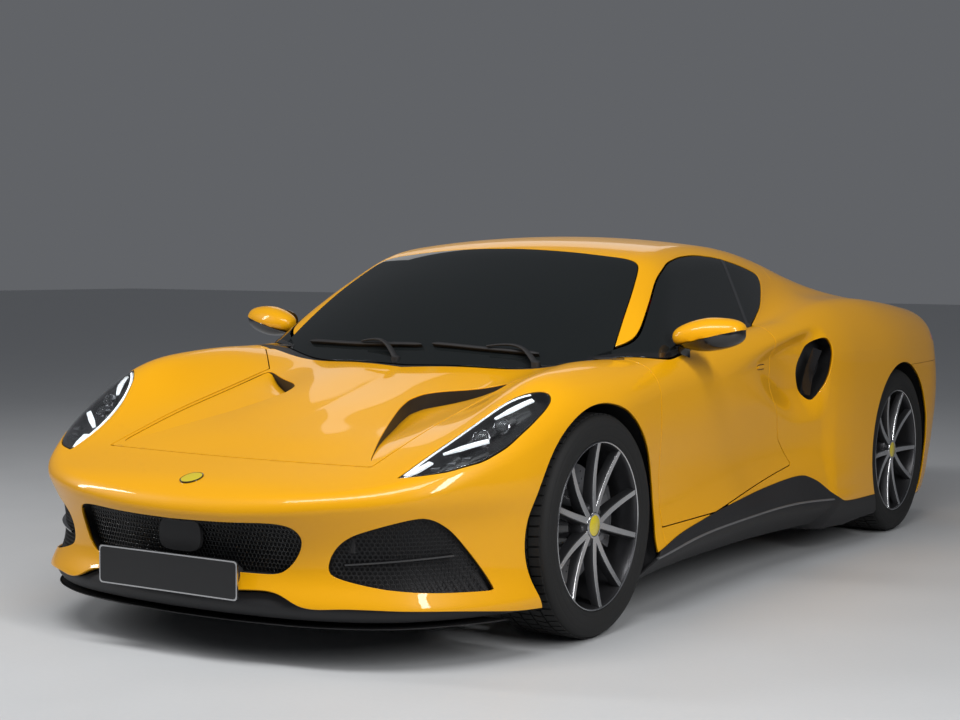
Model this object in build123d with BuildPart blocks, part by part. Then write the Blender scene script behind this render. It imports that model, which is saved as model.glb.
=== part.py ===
from build123d import *

import os
from collections import namedtuple
from math import cos, hypot, radians, sin

# Mid-engined two-seat coupe: body panels, glazing, cabin, running gear and doors as separate pieces.
# Frame: X to the car's left, Y to the rear, Z up; origin on the ground under the middle of the car.
# All lengths in millimetres, all angles in degrees.

os.makedirs("parts", exist_ok=True)

# ---------------------------------------------------------------- driving dimensions
length = 4413.0
body_width = 1895.0
height = 1226.0
mirror_width = 2092.0
wheelbase = 2575.0
front_overhang = 935.0

nose_y = -length / 2
tail_y = length / 2
front_axle_y = nose_y + front_overhang
rear_axle_y = front_axle_y + wheelbase

panel_wall = 24.0  # outer panels with their inner skin
roof_wall = 26.0
glass_wall = 6.0
wiper_height = 9.0
seam = 0.4  # gap between panels that never move
door_gap = 6.5
lid_side_gap = 10.0  # the flared sides of the bonnet move forward as it lifts
lid_end_gap = 12.0  # a lid's free end swings past its neighbour
sill_gap = 10.0  # under the door, whose lower edge climbs
rest_gap = 0.3  # lid above the buffers it rests on
pin_play = 0.05  # radial play of a pin in its eye

Wheel = namedtuple("Wheel", "axle_y track_x tyre_radius tyre_width disc_radius")
wheel_table = {
    "front": Wheel(front_axle_y, 777.0, 340.0, 245.0, 182.0),
    "rear": Wheel(rear_axle_y, 784.0, 342.5, 295.0, 175.0),
}
arch_clearance = 27.0  # arch lip beyond the tyre
arch_lift = 5.0  # arch centre above the hub
house_radius = 395.0  # wheelhouse behind the arch lip
house_outer_x = 884.0
house_inner_x = {"front": 470.0, "rear": 612.0}
liner_wall = 2.0
rim_radius = 254.0

# ---------------------------------------------------------------- body sections
# Lower body: one row a station.  Half widths and heights of the section's corners, from the floor
# up the side (sill, waist), over the wing (crown) and down to the bonnet or deck (valley, centre).
BodyRow = namedtuple(
    "BodyRow", "y floor sill waist_x waist_z crown_x crown_z valley_x valley_z centre_z"
)
body_rows = [
    BodyRow(nose_y, 165, 700, 800, 330, 560, 440, 380, 440, 440),
    BodyRow(nose_y + 150, 160, 810, 850, 370, 610, 510, 380, 512, 515),
    BodyRow(nose_y + 330, 160, 850, 880, 400, 680, 590, 480, 560, 562),
    BodyRow(front_axle_y - 330, 165, 870, 898, 430, 720, 715, 500, 640, 640),
    BodyRow(front_axle_y, 175, 885, 915, 480, 720, 800, 520, 735, 722),
    BodyRow(front_axle_y + 330, 185, 885, 905, 520, 720, 822, 600, 790, 780),
    BodyRow(front_axle_y + 770, 185, 880, 890, 540, 730, 845, 560, 840, 840),
    BodyRow(100, 185, 885, 895, 560, 740, 880, 560, 875, 875),
    BodyRow(rear_axle_y - 700, 185, 905, 928, 590, 730, 930, 560, 905, 905),
    BodyRow(rear_axle_y - 350, 190, 912, 940, 610, 710, 958, 540, 935, 935),
    BodyRow(rear_axle_y, 195, 915, body_width / 2 - 3, 620, 690, 960, 520, 935, 930),
    BodyRow(rear_axle_y + 400, 200, 890, 930, 640, 650, 925, 480, 915, 912),
    BodyRow(tail_y - 150, 220, 820, 880, 650, 610, 905, 440, 915, 918),
    BodyRow(tail_y, 250, 780, 840, 640, 580, 890, 420, 905, 915),
]
core_drop = 90.0  # the hollow inside runs out below the floor
arc_share = 0.7071

# Cabin above the waist: height at the centre, the cant rail, and the foot inside the lower body.
CabinRow = namedtuple("CabinRow", "y top_z rail_x rail_z foot_x foot_z")
cabin_rows = [
    CabinRow(front_axle_y + 215, 768, 640, 660, 800, 640),
    CabinRow(front_axle_y + 400, 886, 695, 775, 822, 730),
    CabinRow(front_axle_y + 640, 1039, 634, 948, 828, 770),
    CabinRow(front_axle_y + 870, 1176, 575, 1112, 825, 790),
    CabinRow(front_axle_y + 1120, 1216, 580, 1163, 822, 800),
    CabinRow(150, height - 1, 588, 1168, 818, 800),
    CabinRow(500, 1203, 562, 1128, 780, 820),
    CabinRow(900, 1115, 530, 1040, 735, 840),
    CabinRow(rear_axle_y, 1010, 505, 965, 680, 840),
    CabinRow(rear_axle_y + 330, 925, 480, 915, 600, 820),
]

# Body outline seen from above, nose and tail corners.
nose_corner = (620.0, nose_y + 156.0)
nose_shoulder = (790.0, nose_y + 335.0)
nose_flank = (900.0, nose_y + 640.0)
tail_corner = (700.0, tail_y - 90.0)
tail_shoulder = (870.0, tail_y - 235.0)
tail_flank = (945.0, tail_y - 480.0)
outline_x = body_width / 2 + 30.0
outline_rear_y = rear_axle_y + 200.0

# ---------------------------------------------------------------- shut lines
# Side view outlines are (y, z); outlines seen from above or ahead are (x, y) or (x, z).
high = 1500.0  # taller than the car
wide = 1000.0  # wider than half the car
far_y = 2500.0  # beyond nose and tail
bonnet_front_y = nose_y + 297.0
bonnet_rear_y = front_axle_y + 235.0
bonnet_corner_y = front_axle_y + 345.0
bonnet_half_width = 500.0
bonnet_flare_y = front_axle_y + 150.0
bonnet_flare_x = 640.0
bonnet_heel = 45.0  # straight length of the flank at the hinge, which swings forward on opening
door_front_y = front_axle_y + 410.0
door_inner_x = 745.0
door_foot_z = 285.0
door_top_z = 900.0
door_rear_foot = (275.0, 375.0)
wing_split_z = 615.0
skirt_front = (front_axle_y + 620.0, 243.0)
skirt_peak = (314.0, 323.0)
skirt_dip = (649.0, 208.0)
tail_split_y = rear_axle_y + 415.0
tail_split_z = 700.0
diffuser_z = 340.0
tailgate_front_y = 640.0
tailgate_rear_y = tail_y - 150.0
tailgate_half_width = 500.0

bonnet_outline = [
    (-bonnet_half_width, bonnet_front_y),
    (bonnet_half_width, bonnet_front_y),
    (bonnet_half_width, bonnet_flare_y),
    (bonnet_flare_x, bonnet_corner_y - bonnet_heel),
    (bonnet_flare_x, bonnet_corner_y),
    (bonnet_flare_x - 90, bonnet_corner_y - 20),
    (0, bonnet_rear_y),
    (90 - bonnet_flare_x, bonnet_corner_y - 20),
    (-bonnet_flare_x, bonnet_corner_y),
    (-bonnet_flare_x, bonnet_corner_y - bonnet_heel),
    (-bonnet_half_width, bonnet_flare_y),
]
tailgate_outline = [
    (-tailgate_half_width, tailgate_front_y),
    (tailgate_half_width, tailgate_front_y),
    (tailgate_half_width, tailgate_rear_y),
    (-tailgate_half_width, tailgate_rear_y),
]
door_outline = [
    (door_front_y, door_foot_z),
    (door_front_y, door_top_z),
    (130, door_top_z),
    (125, 840),
    (116, 650),
    (175, 480),
    door_rear_foot,
    (-450, door_foot_z),
]
sill_outline = [
    (door_front_y, skirt_front[1] - 90),
    (door_front_y, door_foot_z - sill_gap),
    (-450, door_foot_z - sill_gap),
    (door_rear_foot[0] + 10, door_rear_foot[1] - sill_gap),
    (door_rear_foot[0] + 10, skirt_front[1] - 90),
]
skirt_outline = [
    (front_axle_y + 300, 150),
    (front_axle_y + 300, 215),
    skirt_front,
    skirt_peak,
    skirt_dip,
    (rear_axle_y - 300, 208),
    (rear_axle_y - 300, 150),
]
front_door_glass_outline = [
    (-850, 700),
    (-800, 795),
    (-640, 912),
    (-400, 1075),
    (-150, 1128),
    (150, 1133),
    (97, 890),
    (92, 700),
]
quarter_glass_outline = [
    (103.5, 700),
    (103.5, 890),
    (158, 1132),
    (300, 1112),
    (449, 1060),
    (303, 950),
    (200, 890),
    (180, 700),
]
windscreen_outline = [
    (-610, front_axle_y + 455),
    (-510, front_axle_y + 890),
    (0, front_axle_y + 870),
    (510, front_axle_y + 890),
    (610, front_axle_y + 455),
    (420, front_axle_y + 330),
    (0, front_axle_y + 285),
    (-420, front_axle_y + 330),
]
rear_glass_outline = [
    (-430, tailgate_front_y + 60),
    (430, tailgate_front_y + 60),
    (400, rear_axle_y + 330),
    (-400, rear_axle_y + 330),
]
lamp_outline = [
    (620, nose_y + 267),
    (620, nose_y + 450),
    (640, nose_y + 605),
    (705, nose_y + 730),
    (833, nose_y + 745),
    (930, nose_y + 640),
    (930, nose_y + 470),
    (850, nose_y + 360),
    (750, nose_y + 275),
]
lamp_floor_z = 500.0
tail_lamp_outline = [(470, 800), (470, 850), (700, 875), (900, 850), (900, 790), (700, 815)]
tail_lamp_depth = 60.0
grille_outline = [(-385, 276), (-430, 400), (430, 400), (385, 276)]
intake_outline = [(505, 228), (520, 372), (600, 392), (730, 423), (868, 300), (862, 232)]
intake_rear_y = nose_y + 470.0
side_duct_outline = [
    (341, 609),
    (362, 700),
    (400, 775),
    (455, 820),
    (520, 845),
    (512, 770),
    (450, 690),
    (400, 630),
]
side_duct_inner_x = 830.0
grille_wall = 10.0
grille_set_back = 8.0


def mirrored(points):
    """An outline that is the same left and right, from its left half."""
    return points + [(-x, y) for x, y in reversed(points) if x > 0]


def save(builder, name):
    """Label a finished piece and write its STEP file."""
    builder.part.label = name
    export_step(builder.part, f"parts/{name}.step")


def prism(plane, outline, depth, grow=0.0):
    """A straight cutter: an outline on a plane, grown by a gap, and its depth."""
    with BuildPart() as cutter:
        with BuildSketch(plane):
            with BuildLine():
                Polyline(outline, close=True)
            make_face()
            if grow:
                offset(amount=grow, kind=Kind.INTERSECTION)
        extrude(amount=depth)
    return cutter.part


def side_prism(outline, x_low, x_high, grow=0.0):
    return prism(Plane.YZ.offset(x_low), outline, x_high - x_low, grow)


def plan_prism(outline, z_low, z_high, grow=0.0):
    return prism(Plane.XY.offset(z_low), outline, z_high - z_low, grow)


def front_prism(outline, y_low, y_high, grow=0.0):
    return prism(Plane.XZ.offset(-y_high), outline, y_high - y_low, grow)


def plan_outline(inset):
    """The body seen from above, taken in by inset."""
    with BuildSketch() as plan:
        with BuildLine():
            left = [
                ThreePointArc((0, nose_y), (nose_corner[0] / 2, nose_y + nose_corner_sag), nose_corner),
                ThreePointArc(nose_corner, nose_shoulder, nose_flank),
                Polyline(nose_flank, (outline_x, front_axle_y), (outline_x, outline_rear_y), tail_flank),
                ThreePointArc(tail_flank, tail_shoulder, tail_corner),
                ThreePointArc(tail_corner, (tail_corner[0] / 2, tail_y - tail_corner_sag), (0, tail_y)),
            ]
            mirror(left, about=Plane.YZ)
        make_face()
        if inset:
            offset(amount=-inset)
    return plan.sketch


def cylinder_x(x_low, x_high, y, z, radius):
    """A cylinder along X."""
    with BuildPart() as cylinder:
        with BuildSketch(Plane.YZ.offset(x_low)):
            with Locations((y, z)):
                Circle(radius)
        extrude(amount=x_high - x_low)
    return cylinder.part


nose_corner_sag = (nose_corner[1] - nose_y) / 4
tail_corner_sag = (tail_y - tail_corner[1]) / 4

# ---------------------------------------------------------------- body masters


def body_loft(wall):
    """Lower body as one solid, taken in by wall."""
    drop = core_drop if wall else 0
    with BuildPart() as loft_part:
        for row in body_rows:
            floor = row.floor - drop
            waist = (row.waist_x - wall, row.waist_z)
            crown = (row.crown_x, row.crown_z - wall)
            bulge = (
                crown[0] + (waist[0] - crown[0]) * arc_share,
                waist[1] + (crown[1] - waist[1]) * arc_share,
            )
            with BuildSketch(Plane.XZ.offset(-row.y)):
                with BuildLine():
                    Polyline((0, floor), (row.sill - wall, floor), waist)
                    ThreePointArc(waist, bulge, crown)
                    Polyline(crown, (row.valley_x, row.valley_z - wall), (0, row.centre_z - wall))
                    mirror(about=Plane.YZ)
                make_face()
        loft(ruled=True)
        with BuildSketch():
            add(plan_outline(wall))
        extrude(amount=high, mode=Mode.INTERSECT)
    return loft_part.part


def cabin_loft(wall):
    """Cabin as one solid, taken in by wall."""
    with BuildPart() as loft_part:
        for row in cabin_rows:
            rail_in = wall * arc_share
            rail = (row.rail_x - rail_in, row.rail_z - rail_in)
            foot = (row.foot_x - wall, row.foot_z)
            with BuildSketch(Plane.XZ.offset(-row.y)):
                with BuildLine():
                    ThreePointArc((-rail[0], rail[1]), (0, row.top_z - wall), rail)
                    Polyline(rail, foot, (-foot[0], foot[1]), (-rail[0], rail[1]))
                make_face()
        loft(ruled=True)
    return loft_part.part


body_solid = body_loft(0)
body_core = body_loft(panel_wall)
cabin_solid = cabin_loft(0)
cabin_core = cabin_loft(roof_wall)
glass_core = cabin_loft(glass_wall)
wiper_skin = cabin_loft(-wiper_height)

with BuildPart() as inside:
    add(body_core)
    add(cabin_core)

with BuildPart() as shell:
    add(body_solid)
    add(cabin_solid)
    add(inside.part, mode=Mode.SUBTRACT)

with BuildPart() as arches:
    for end, wheel in wheel_table.items():
        centre_z = wheel.tyre_radius + arch_lift
        lip_radius = wheel.tyre_radius + arch_clearance
        add(cylinder_x(house_inner_x[end], wide, wheel.axle_y, centre_z, lip_radius))
        add(cylinder_x(house_inner_x[end], house_outer_x, wheel.axle_y, centre_z, house_radius))
    mirror(about=Plane.YZ)

# ---------------------------------------------------------------- regions of the skin
bumper_outline = [
    (-far_y, 0),
    (-far_y, high),
    (bonnet_front_y, high),
    (bonnet_front_y, wing_split_z),
    (front_axle_y, wing_split_z),
    (front_axle_y, 0),
]
wing_outline = [
    (bonnet_front_y, wing_split_z),
    (bonnet_front_y, high),
    (door_front_y, high),
    (door_front_y, skirt_outline[1][1]),
    (front_axle_y, skirt_outline[1][1]),
    (front_axle_y, wing_split_z),
]
quarter_outline = [
    (door_rear_foot[0], 0),
    (100, 400),
    (100, high),
    (far_y, high),
    (far_y, tail_split_z),
    (tail_split_y, tail_split_z),
    (tail_split_y, 0),
]
tail_outline = [
    (tail_split_y, diffuser_z),
    (tail_split_y, tail_split_z),
    (far_y, tail_split_z),
    (far_y, diffuser_z),
]
diffuser_outline = [
    (tail_split_y, 0),
    (tail_split_y, diffuser_z),
    (far_y, diffuser_z),
    (far_y, 0),
]

bonnet_zone = plan_prism(bonnet_outline, 400, high)
bonnet_gap = plan_prism(bonnet_outline, 400, high, lid_side_gap)
bonnet_end_gap = plan_prism(
    [
        (-bonnet_half_width - lid_side_gap, bonnet_front_y - lid_end_gap),
        (bonnet_half_width + lid_side_gap, bonnet_front_y - lid_end_gap),
        (bonnet_half_width + lid_side_gap, bonnet_front_y + lid_end_gap),
        (-bonnet_half_width - lid_side_gap, bonnet_front_y + lid_end_gap),
    ],
    400,
    high,
)
tailgate_zone = plan_prism(tailgate_outline, 800, high)
tailgate_gap = plan_prism(tailgate_outline, 800, high, lid_side_gap)
tailgate_end_gap = plan_prism(
    [
        (-tailgate_half_width - lid_side_gap, tailgate_rear_y - lid_end_gap),
        (tailgate_half_width + lid_side_gap, tailgate_rear_y - lid_end_gap),
        (tailgate_half_width + lid_side_gap, tailgate_rear_y + lid_end_gap),
        (-tailgate_half_width - lid_side_gap, tailgate_rear_y + lid_end_gap),
    ],
    800,
    high,
)
door_zone = side_prism(door_outline, door_inner_x, wide)
door_gaps = side_prism(door_outline, 0, wide, door_gap)
door_frame_gap = side_prism(door_outline, door_inner_x - door_gap, wide, door_gap)
lamp_zone = plan_prism(lamp_outline, lamp_floor_z, high)
lamp_gap = plan_prism(lamp_outline, lamp_floor_z - seam, high, seam)
tail_lamp_zone = front_prism(tail_lamp_outline, tail_y - 400, far_y)
tail_lamp_gap = front_prism(tail_lamp_outline, tail_y - 400, far_y, seam)
windscreen_zone = plan_prism(windscreen_outline, 600, high)
windscreen_gap = plan_prism(windscreen_outline, 600, high, seam)
rear_glass_zone = plan_prism(rear_glass_outline, 900, high)
rear_glass_gap = plan_prism(rear_glass_outline, 900, high, seam)
door_glass_zone = side_prism(front_door_glass_outline, 300, wide)
door_glass_gap = side_prism(front_door_glass_outline, 300, wide, door_gap)
quarter_glass_zone = side_prism(quarter_glass_outline, 300, wide)
quarter_glass_gap = side_prism(quarter_glass_outline, 300, wide, seam)
duct_zone = side_prism(side_duct_outline, side_duct_inner_x, wide)
duct_gap = side_prism(side_duct_outline, 700, wide, seam)

with BuildPart() as front_openings:
    add(front_prism(grille_outline, -far_y, intake_rear_y, seam))
    add(front_prism(intake_outline, -far_y, intake_rear_y, seam))
    add(front_prism([(-x, z) for x, z in reversed(intake_outline)], -far_y, intake_rear_y, seam))

with BuildPart() as grille_skin:
    with BuildSketch():
        add(plan_outline(grille_set_back))
        add(plan_outline(grille_set_back + grille_wall), mode=Mode.SUBTRACT)
    extrude(amount=high)

splitter_z = 128.0
splitter_height = 60.0
splitter_set_back = 4.0
splitter_reach = 190.0

cowl_outline = [
    (0, bonnet_rear_y - 15),
    (bonnet_flare_x, bonnet_corner_y - 45),
    (door_inner_x, door_front_y - 60),
    (door_inner_x, door_front_y - 10),
    (door_inner_x - 130, door_front_y + 80),
]
cowl_zone = plan_prism(mirrored(cowl_outline), 600, high)
plate_width = 520.0
plate_height = 110.0
plate_wall = 6.0
front_plate_z = 248.0
rear_plate_z = 520.0
front_plate_y = nose_y + 17.0  # back face
rear_plate_y = tail_y - 12.0


def plate_recess(y_low, y_high, centre_z, gap):
    with BuildPart() as recess:
        with BuildSketch(Plane.XZ.offset(-y_high)):
            with Locations((0, centre_z)):
                Rectangle(plate_width + 2 * gap, plate_height + 2 * gap)
        extrude(amount=y_high - y_low)
    return recess.part


# ---------------------------------------------------------------- bumpers, wings, lids
tow_x = 210.0
tow_z = 400.0
tow_thread_radius = 8.0
tow_boss_half = 30.0
outlet_half_width = 260.0  # mouth in the rear bumper for the exhaust tips and the towing eye
outlet_top_z = 455.0
tip_radius = 48.0
tip_wall = 3.0
tip_x = 88.0
tip_z = 395.0

with BuildPart() as front_bumper:
    add(shell.part)
    add(side_prism(bumper_outline, -wide, wide), mode=Mode.INTERSECT)
    add(bonnet_gap, mode=Mode.SUBTRACT)
    add(bonnet_end_gap, mode=Mode.SUBTRACT)
    add(lamp_gap, mode=Mode.SUBTRACT)
    add(mirror(lamp_gap, about=Plane.YZ, mode=Mode.PRIVATE), mode=Mode.SUBTRACT)
    add(arches.part, mode=Mode.SUBTRACT)
    add(front_openings.part, mode=Mode.SUBTRACT)
    add(plate_recess(-far_y, front_plate_y, front_plate_z, seam), mode=Mode.SUBTRACT)
save(front_bumper, "front_bumper")
print("bumper")

with BuildPart() as front_mesh:
    add(grille_skin.part)
    with BuildSketch(Plane.XZ.offset(-intake_rear_y)):
        for outline in (grille_outline, intake_outline, [(-x, z) for x, z in reversed(intake_outline)]):
            with BuildLine():
                Polyline(outline, close=True)
            make_face()
    extrude(amount=far_y + intake_rear_y, mode=Mode.INTERSECT)
with BuildPart() as grilles:
    add(body_core)
    add(duct_zone, mode=Mode.INTERSECT)
    mirror(about=Plane.YZ)
    add(front_mesh.part)
    add(plate_recess(-far_y, nose_y + far_y, front_plate_z, seam), mode=Mode.SUBTRACT)
save(grilles, "grilles")

with BuildPart() as number_plates:
    add(plate_recess(front_plate_y - plate_wall, front_plate_y, front_plate_z, 0))
    add(plate_recess(rear_plate_y, rear_plate_y + plate_wall, rear_plate_z, 0))
save(number_plates, "number_plates")

with BuildPart() as front_splitter:
    with BuildSketch(Plane.XY.offset(splitter_z)):
        add(plan_outline(splitter_set_back))
        add(plan_outline(splitter_set_back + splitter_reach), mode=Mode.SUBTRACT)
        with Locations((0, far_y + front_axle_y - house_radius - splitter_set_back)):
            Rectangle(3 * wide, 2 * far_y, mode=Mode.SUBTRACT)
    extrude(amount=splitter_height)
    add(body_solid, mode=Mode.SUBTRACT)
    add(arches.part, mode=Mode.SUBTRACT)
save(front_splitter, "front_splitter")

with BuildPart() as front_wing:
    add(shell.part)
    add(side_prism(wing_outline, 0, wide), mode=Mode.INTERSECT)
    add(side_prism(bumper_outline, -wide, wide, seam), mode=Mode.SUBTRACT)
    add(bonnet_gap, mode=Mode.SUBTRACT)
    add(cowl_zone, mode=Mode.SUBTRACT)
    add(cabin_solid, mode=Mode.SUBTRACT)
    add(door_gaps, mode=Mode.SUBTRACT)
    add(lamp_gap, mode=Mode.SUBTRACT)
    add(arches.part, mode=Mode.SUBTRACT)
with BuildPart() as front_wings:
    add(front_wing.part)
    mirror(about=Plane.YZ)
save(front_wings, "front_wings")
print("wings")

with BuildPart() as headlamps:
    add(body_solid)
    add(lamp_zone, mode=Mode.INTERSECT)
    add(arches.part, mode=Mode.SUBTRACT)
    mirror(about=Plane.YZ)
save(headlamps, "headlamps")

with BuildPart() as bonnet:
    add(shell.part)
    add(bonnet_zone, mode=Mode.INTERSECT)
    add(cabin_solid, mode=Mode.SUBTRACT)
save(bonnet, "bonnet")

with BuildPart() as cowl:
    add(shell.part)
    add(cowl_zone, mode=Mode.INTERSECT)
    add(bonnet_gap, mode=Mode.SUBTRACT)
    add(cabin_solid, mode=Mode.SUBTRACT)
save(cowl, "cowl")
print("bonnet")

with BuildPart() as rear_wing:
    add(shell.part)
    add(side_prism(quarter_outline, 0, wide), mode=Mode.INTERSECT)
    add(cabin_solid, mode=Mode.SUBTRACT)
    add(door_gaps, mode=Mode.SUBTRACT)
    add(side_prism(skirt_outline, 0, wide, seam), mode=Mode.SUBTRACT)
    add(side_prism(sill_outline, 0, wide, seam), mode=Mode.SUBTRACT)
    add(tailgate_gap, mode=Mode.SUBTRACT)
    add(tailgate_end_gap, mode=Mode.SUBTRACT)
    add(duct_gap, mode=Mode.SUBTRACT)
    add(tail_lamp_gap, mode=Mode.SUBTRACT)
    add(arches.part, mode=Mode.SUBTRACT)
with BuildPart() as rear_wings:
    add(rear_wing.part)
    mirror(about=Plane.YZ)
save(rear_wings, "rear_wings")
print("rear wings")

with BuildPart() as rear_bumper:
    add(shell.part)
    add(side_prism(tail_outline, -wide, wide), mode=Mode.INTERSECT)
    add(side_prism(quarter_outline, -wide, wide, seam), mode=Mode.SUBTRACT)
    add(plate_recess(rear_plate_y, far_y, rear_plate_z, seam), mode=Mode.SUBTRACT)
    add(arches.part, mode=Mode.SUBTRACT)
    with BuildSketch(Plane.XZ.offset(-far_y)):
        with Locations((0, outlet_top_z / 2)):
            Rectangle(2 * outlet_half_width, outlet_top_z)
    extrude(amount=far_y - tail_split_y, mode=Mode.SUBTRACT)
save(rear_bumper, "rear_bumper")

with BuildPart() as diffuser:
    add(shell.part)
    add(side_prism(diffuser_outline, -wide, wide), mode=Mode.INTERSECT)
    add(side_prism(tail_outline, -wide, wide, seam), mode=Mode.SUBTRACT)
    add(side_prism(quarter_outline, -wide, wide, seam), mode=Mode.SUBTRACT)
    add(arches.part, mode=Mode.SUBTRACT)
save(diffuser, "diffuser")
print("tail")

# ---------------------------------------------------------------- cabin shell, glass and doors
with BuildPart() as roof_frame:
    add(cabin_solid)
    add(inside.part, mode=Mode.SUBTRACT)
    for cutter in (door_frame_gap, door_glass_gap, quarter_glass_gap):
        add(cutter, mode=Mode.SUBTRACT)
        add(mirror(cutter, about=Plane.YZ, mode=Mode.PRIVATE), mode=Mode.SUBTRACT)
    add(windscreen_gap, mode=Mode.SUBTRACT)
    add(bonnet_gap, mode=Mode.SUBTRACT)
    add(tailgate_gap, mode=Mode.SUBTRACT)
    add(tailgate_end_gap, mode=Mode.SUBTRACT)
save(roof_frame, "roof_frame")
print("roof", len(roof_frame.part.solids()))

with BuildPart() as windscreen:
    add(cabin_solid)
    add(glass_core, mode=Mode.SUBTRACT)
    add(windscreen_zone, mode=Mode.INTERSECT)
    add(body_solid, mode=Mode.SUBTRACT)
save(windscreen, "windscreen")

with BuildPart() as quarter_windows:
    add(cabin_solid)
    add(glass_core, mode=Mode.SUBTRACT)
    add(quarter_glass_zone, mode=Mode.INTERSECT)
    add(body_solid, mode=Mode.SUBTRACT)
    mirror(about=Plane.YZ)
save(quarter_windows, "quarter_windows")

with BuildPart() as door_glass_left:
    add(cabin_solid)
    add(glass_core, mode=Mode.SUBTRACT)
    add(door_glass_zone, mode=Mode.INTERSECT)
    add(windscreen_gap, mode=Mode.SUBTRACT)
with BuildPart() as door_glass_right:
    mirror(door_glass_left.part, about=Plane.YZ)
save(door_glass_left, "door_glass_left")
save(door_glass_right, "door_glass_right")

hinge_x = 850.0
hinge_back = 60.0  # hinge pin ahead of the door's front edge
hinge_y = door_front_y - hinge_back
hinge_pin_radius = 5.0
hinge_eye_radius = 11.0
hinge_levels = (575.0, 625.0)
hinge_arm_height = 26.0
# The arm cranks inboard round the wing's rear edge; points are from the pin.
hinge_arm_outline = [(-4, -9), (-52, 23), (-79, 55), (-79, 105), (-61, 105), (-61, 62), (-40, 37), (4, 8)]
lug_gap = 0.5
swing_gap = 5.3  # door edges past the wing and the rear body as the door swings
door_sweep_radius = hypot(905.0 - hinge_x, hinge_back - door_gap) + swing_gap
door_skin_x = hinge_x  # the rear edge steps back inboard of this


def vertical_cylinder(x, y, z_low, z_high, radius):
    """A cylinder along Z."""
    with BuildPart() as cylinder:
        with BuildSketch(Plane.XY.offset(z_low)):
            with Locations((x, y)):
                Circle(radius)
        extrude(amount=z_high - z_low)
    return cylinder.part


door_rear_step = [(y, z) for y, z in door_outline if y > 0]
door_rear_step += [(y - 14, z) for y, z in reversed(door_rear_step)]
with BuildPart() as door_left:
    add(body_solid)
    add(door_zone, mode=Mode.INTERSECT)
    add(side_prism(door_rear_step, 0, door_skin_x), mode=Mode.SUBTRACT)
    add(vertical_cylinder(hinge_x, hinge_y, 0, high, door_sweep_radius), mode=Mode.SUBTRACT)
    add(door_glass_left.part, mode=Mode.SUBTRACT)
    for level in hinge_levels:
        low = level - hinge_arm_height / 2
        with BuildSketch(Plane.XY.offset(low)):
            with Locations((hinge_x, hinge_y)):
                Circle(hinge_eye_radius)
            with BuildLine():
                Polyline([(hinge_x + x, hinge_y + y) for x, y in hinge_arm_outline], close=True)
            make_face()
            with Locations((hinge_x, hinge_y)):
                Circle(hinge_pin_radius + pin_play, mode=Mode.SUBTRACT)
        extrude(amount=hinge_arm_height)
with BuildPart() as door_right:
    mirror(door_left.part, about=Plane.YZ)
save(door_left, "door_left")
save(door_right, "door_right")
print("doors", len(door_left.part.solids()))

with BuildPart() as tailgate:
    add(shell.part)
    add(tailgate_zone, mode=Mode.INTERSECT)
    add(rear_glass_gap, mode=Mode.SUBTRACT)
save(tailgate, "tailgate")

with BuildPart() as rear_glass:
    add(cabin_solid)
    add(glass_core, mode=Mode.SUBTRACT)
    add(rear_glass_zone, mode=Mode.INTERSECT)
    add(body_solid, mode=Mode.SUBTRACT)
save(rear_glass, "rear_glass")
print("tailgate", len(tailgate.part.solids()), len(rear_glass.part.solids()))

with BuildPart() as tail_lamps:
    with BuildSketch():
        add(plan_outline(0))
        add(plan_outline(tail_lamp_depth), mode=Mode.SUBTRACT)
    extrude(amount=high)
    add(tail_lamp_zone, mode=Mode.INTERSECT)
    add(body_solid, mode=Mode.INTERSECT)
    mirror(about=Plane.YZ)
save(tail_lamps, "tail_lamps")


# ---------------------------------------------------------------- mirrors and wipers
mirror_size = (150.0, 105.0, 112.0)  # x, y, z
mirror_place = (mirror_width / 2 - mirror_size[0] / 2, -585.0, 893.0)
mirror_stalk_outline = [(790, 780), (790, 838), (976, 864), (976, 846), (872, 828), (850, 740)]
mirror_stalk_rear_y = -577.0
mirror_stalk_width = 46.0

with BuildPart() as mirror_left:
    with BuildSketch(Plane.YZ.offset(mirror_place[0] - mirror_size[0] / 2)):
        with Locations((mirror_place[1], mirror_place[2])):
            RectangleRounded(mirror_size[1], mirror_size[2], 30)
    extrude(amount=mirror_size[0], taper=6)
    add(front_prism(mirror_stalk_outline, mirror_stalk_rear_y - mirror_stalk_width, mirror_stalk_rear_y))
    add(body_solid, mode=Mode.SUBTRACT)
    add(door_glass_left.part, mode=Mode.SUBTRACT)
with BuildPart() as mirror_right:
    mirror(mirror_left.part, about=Plane.YZ)
save(mirror_left, "mirror_left")
save(mirror_right, "mirror_right")
print("mirror", len(mirror_left.part.solids()))

wiper_width = 12.0
wiper_blades = [
    ((-520.0, front_axle_y + 415), (30.0, front_axle_y + 345)),
    ((60.0, front_axle_y + 350), (470.0, front_axle_y + 420)),
]
with BuildPart() as wipers:
    add(wiper_skin)
    with BuildSketch():
        for start, stop in wiper_blades:
            run = hypot(stop[0] - start[0], stop[1] - start[1])
            across = (
                (start[1] - stop[1]) / run * wiper_width / 2,
                (stop[0] - start[0]) / run * wiper_width / 2,
            )
            with BuildLine():
                Polyline(
                    (start[0] + across[0], start[1] + across[1]),
                    (start[0] - across[0], start[1] - across[1]),
                    (stop[0] - across[0], stop[1] - across[1]),
                    (stop[0] + across[0], stop[1] + across[1]),
                    close=True,
                )
            make_face()
    extrude(amount=high, mode=Mode.INTERSECT)
    add(cabin_solid, mode=Mode.SUBTRACT)
save(wipers, "wipers")
print("wipers", len(wipers.part.solids()))

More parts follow.
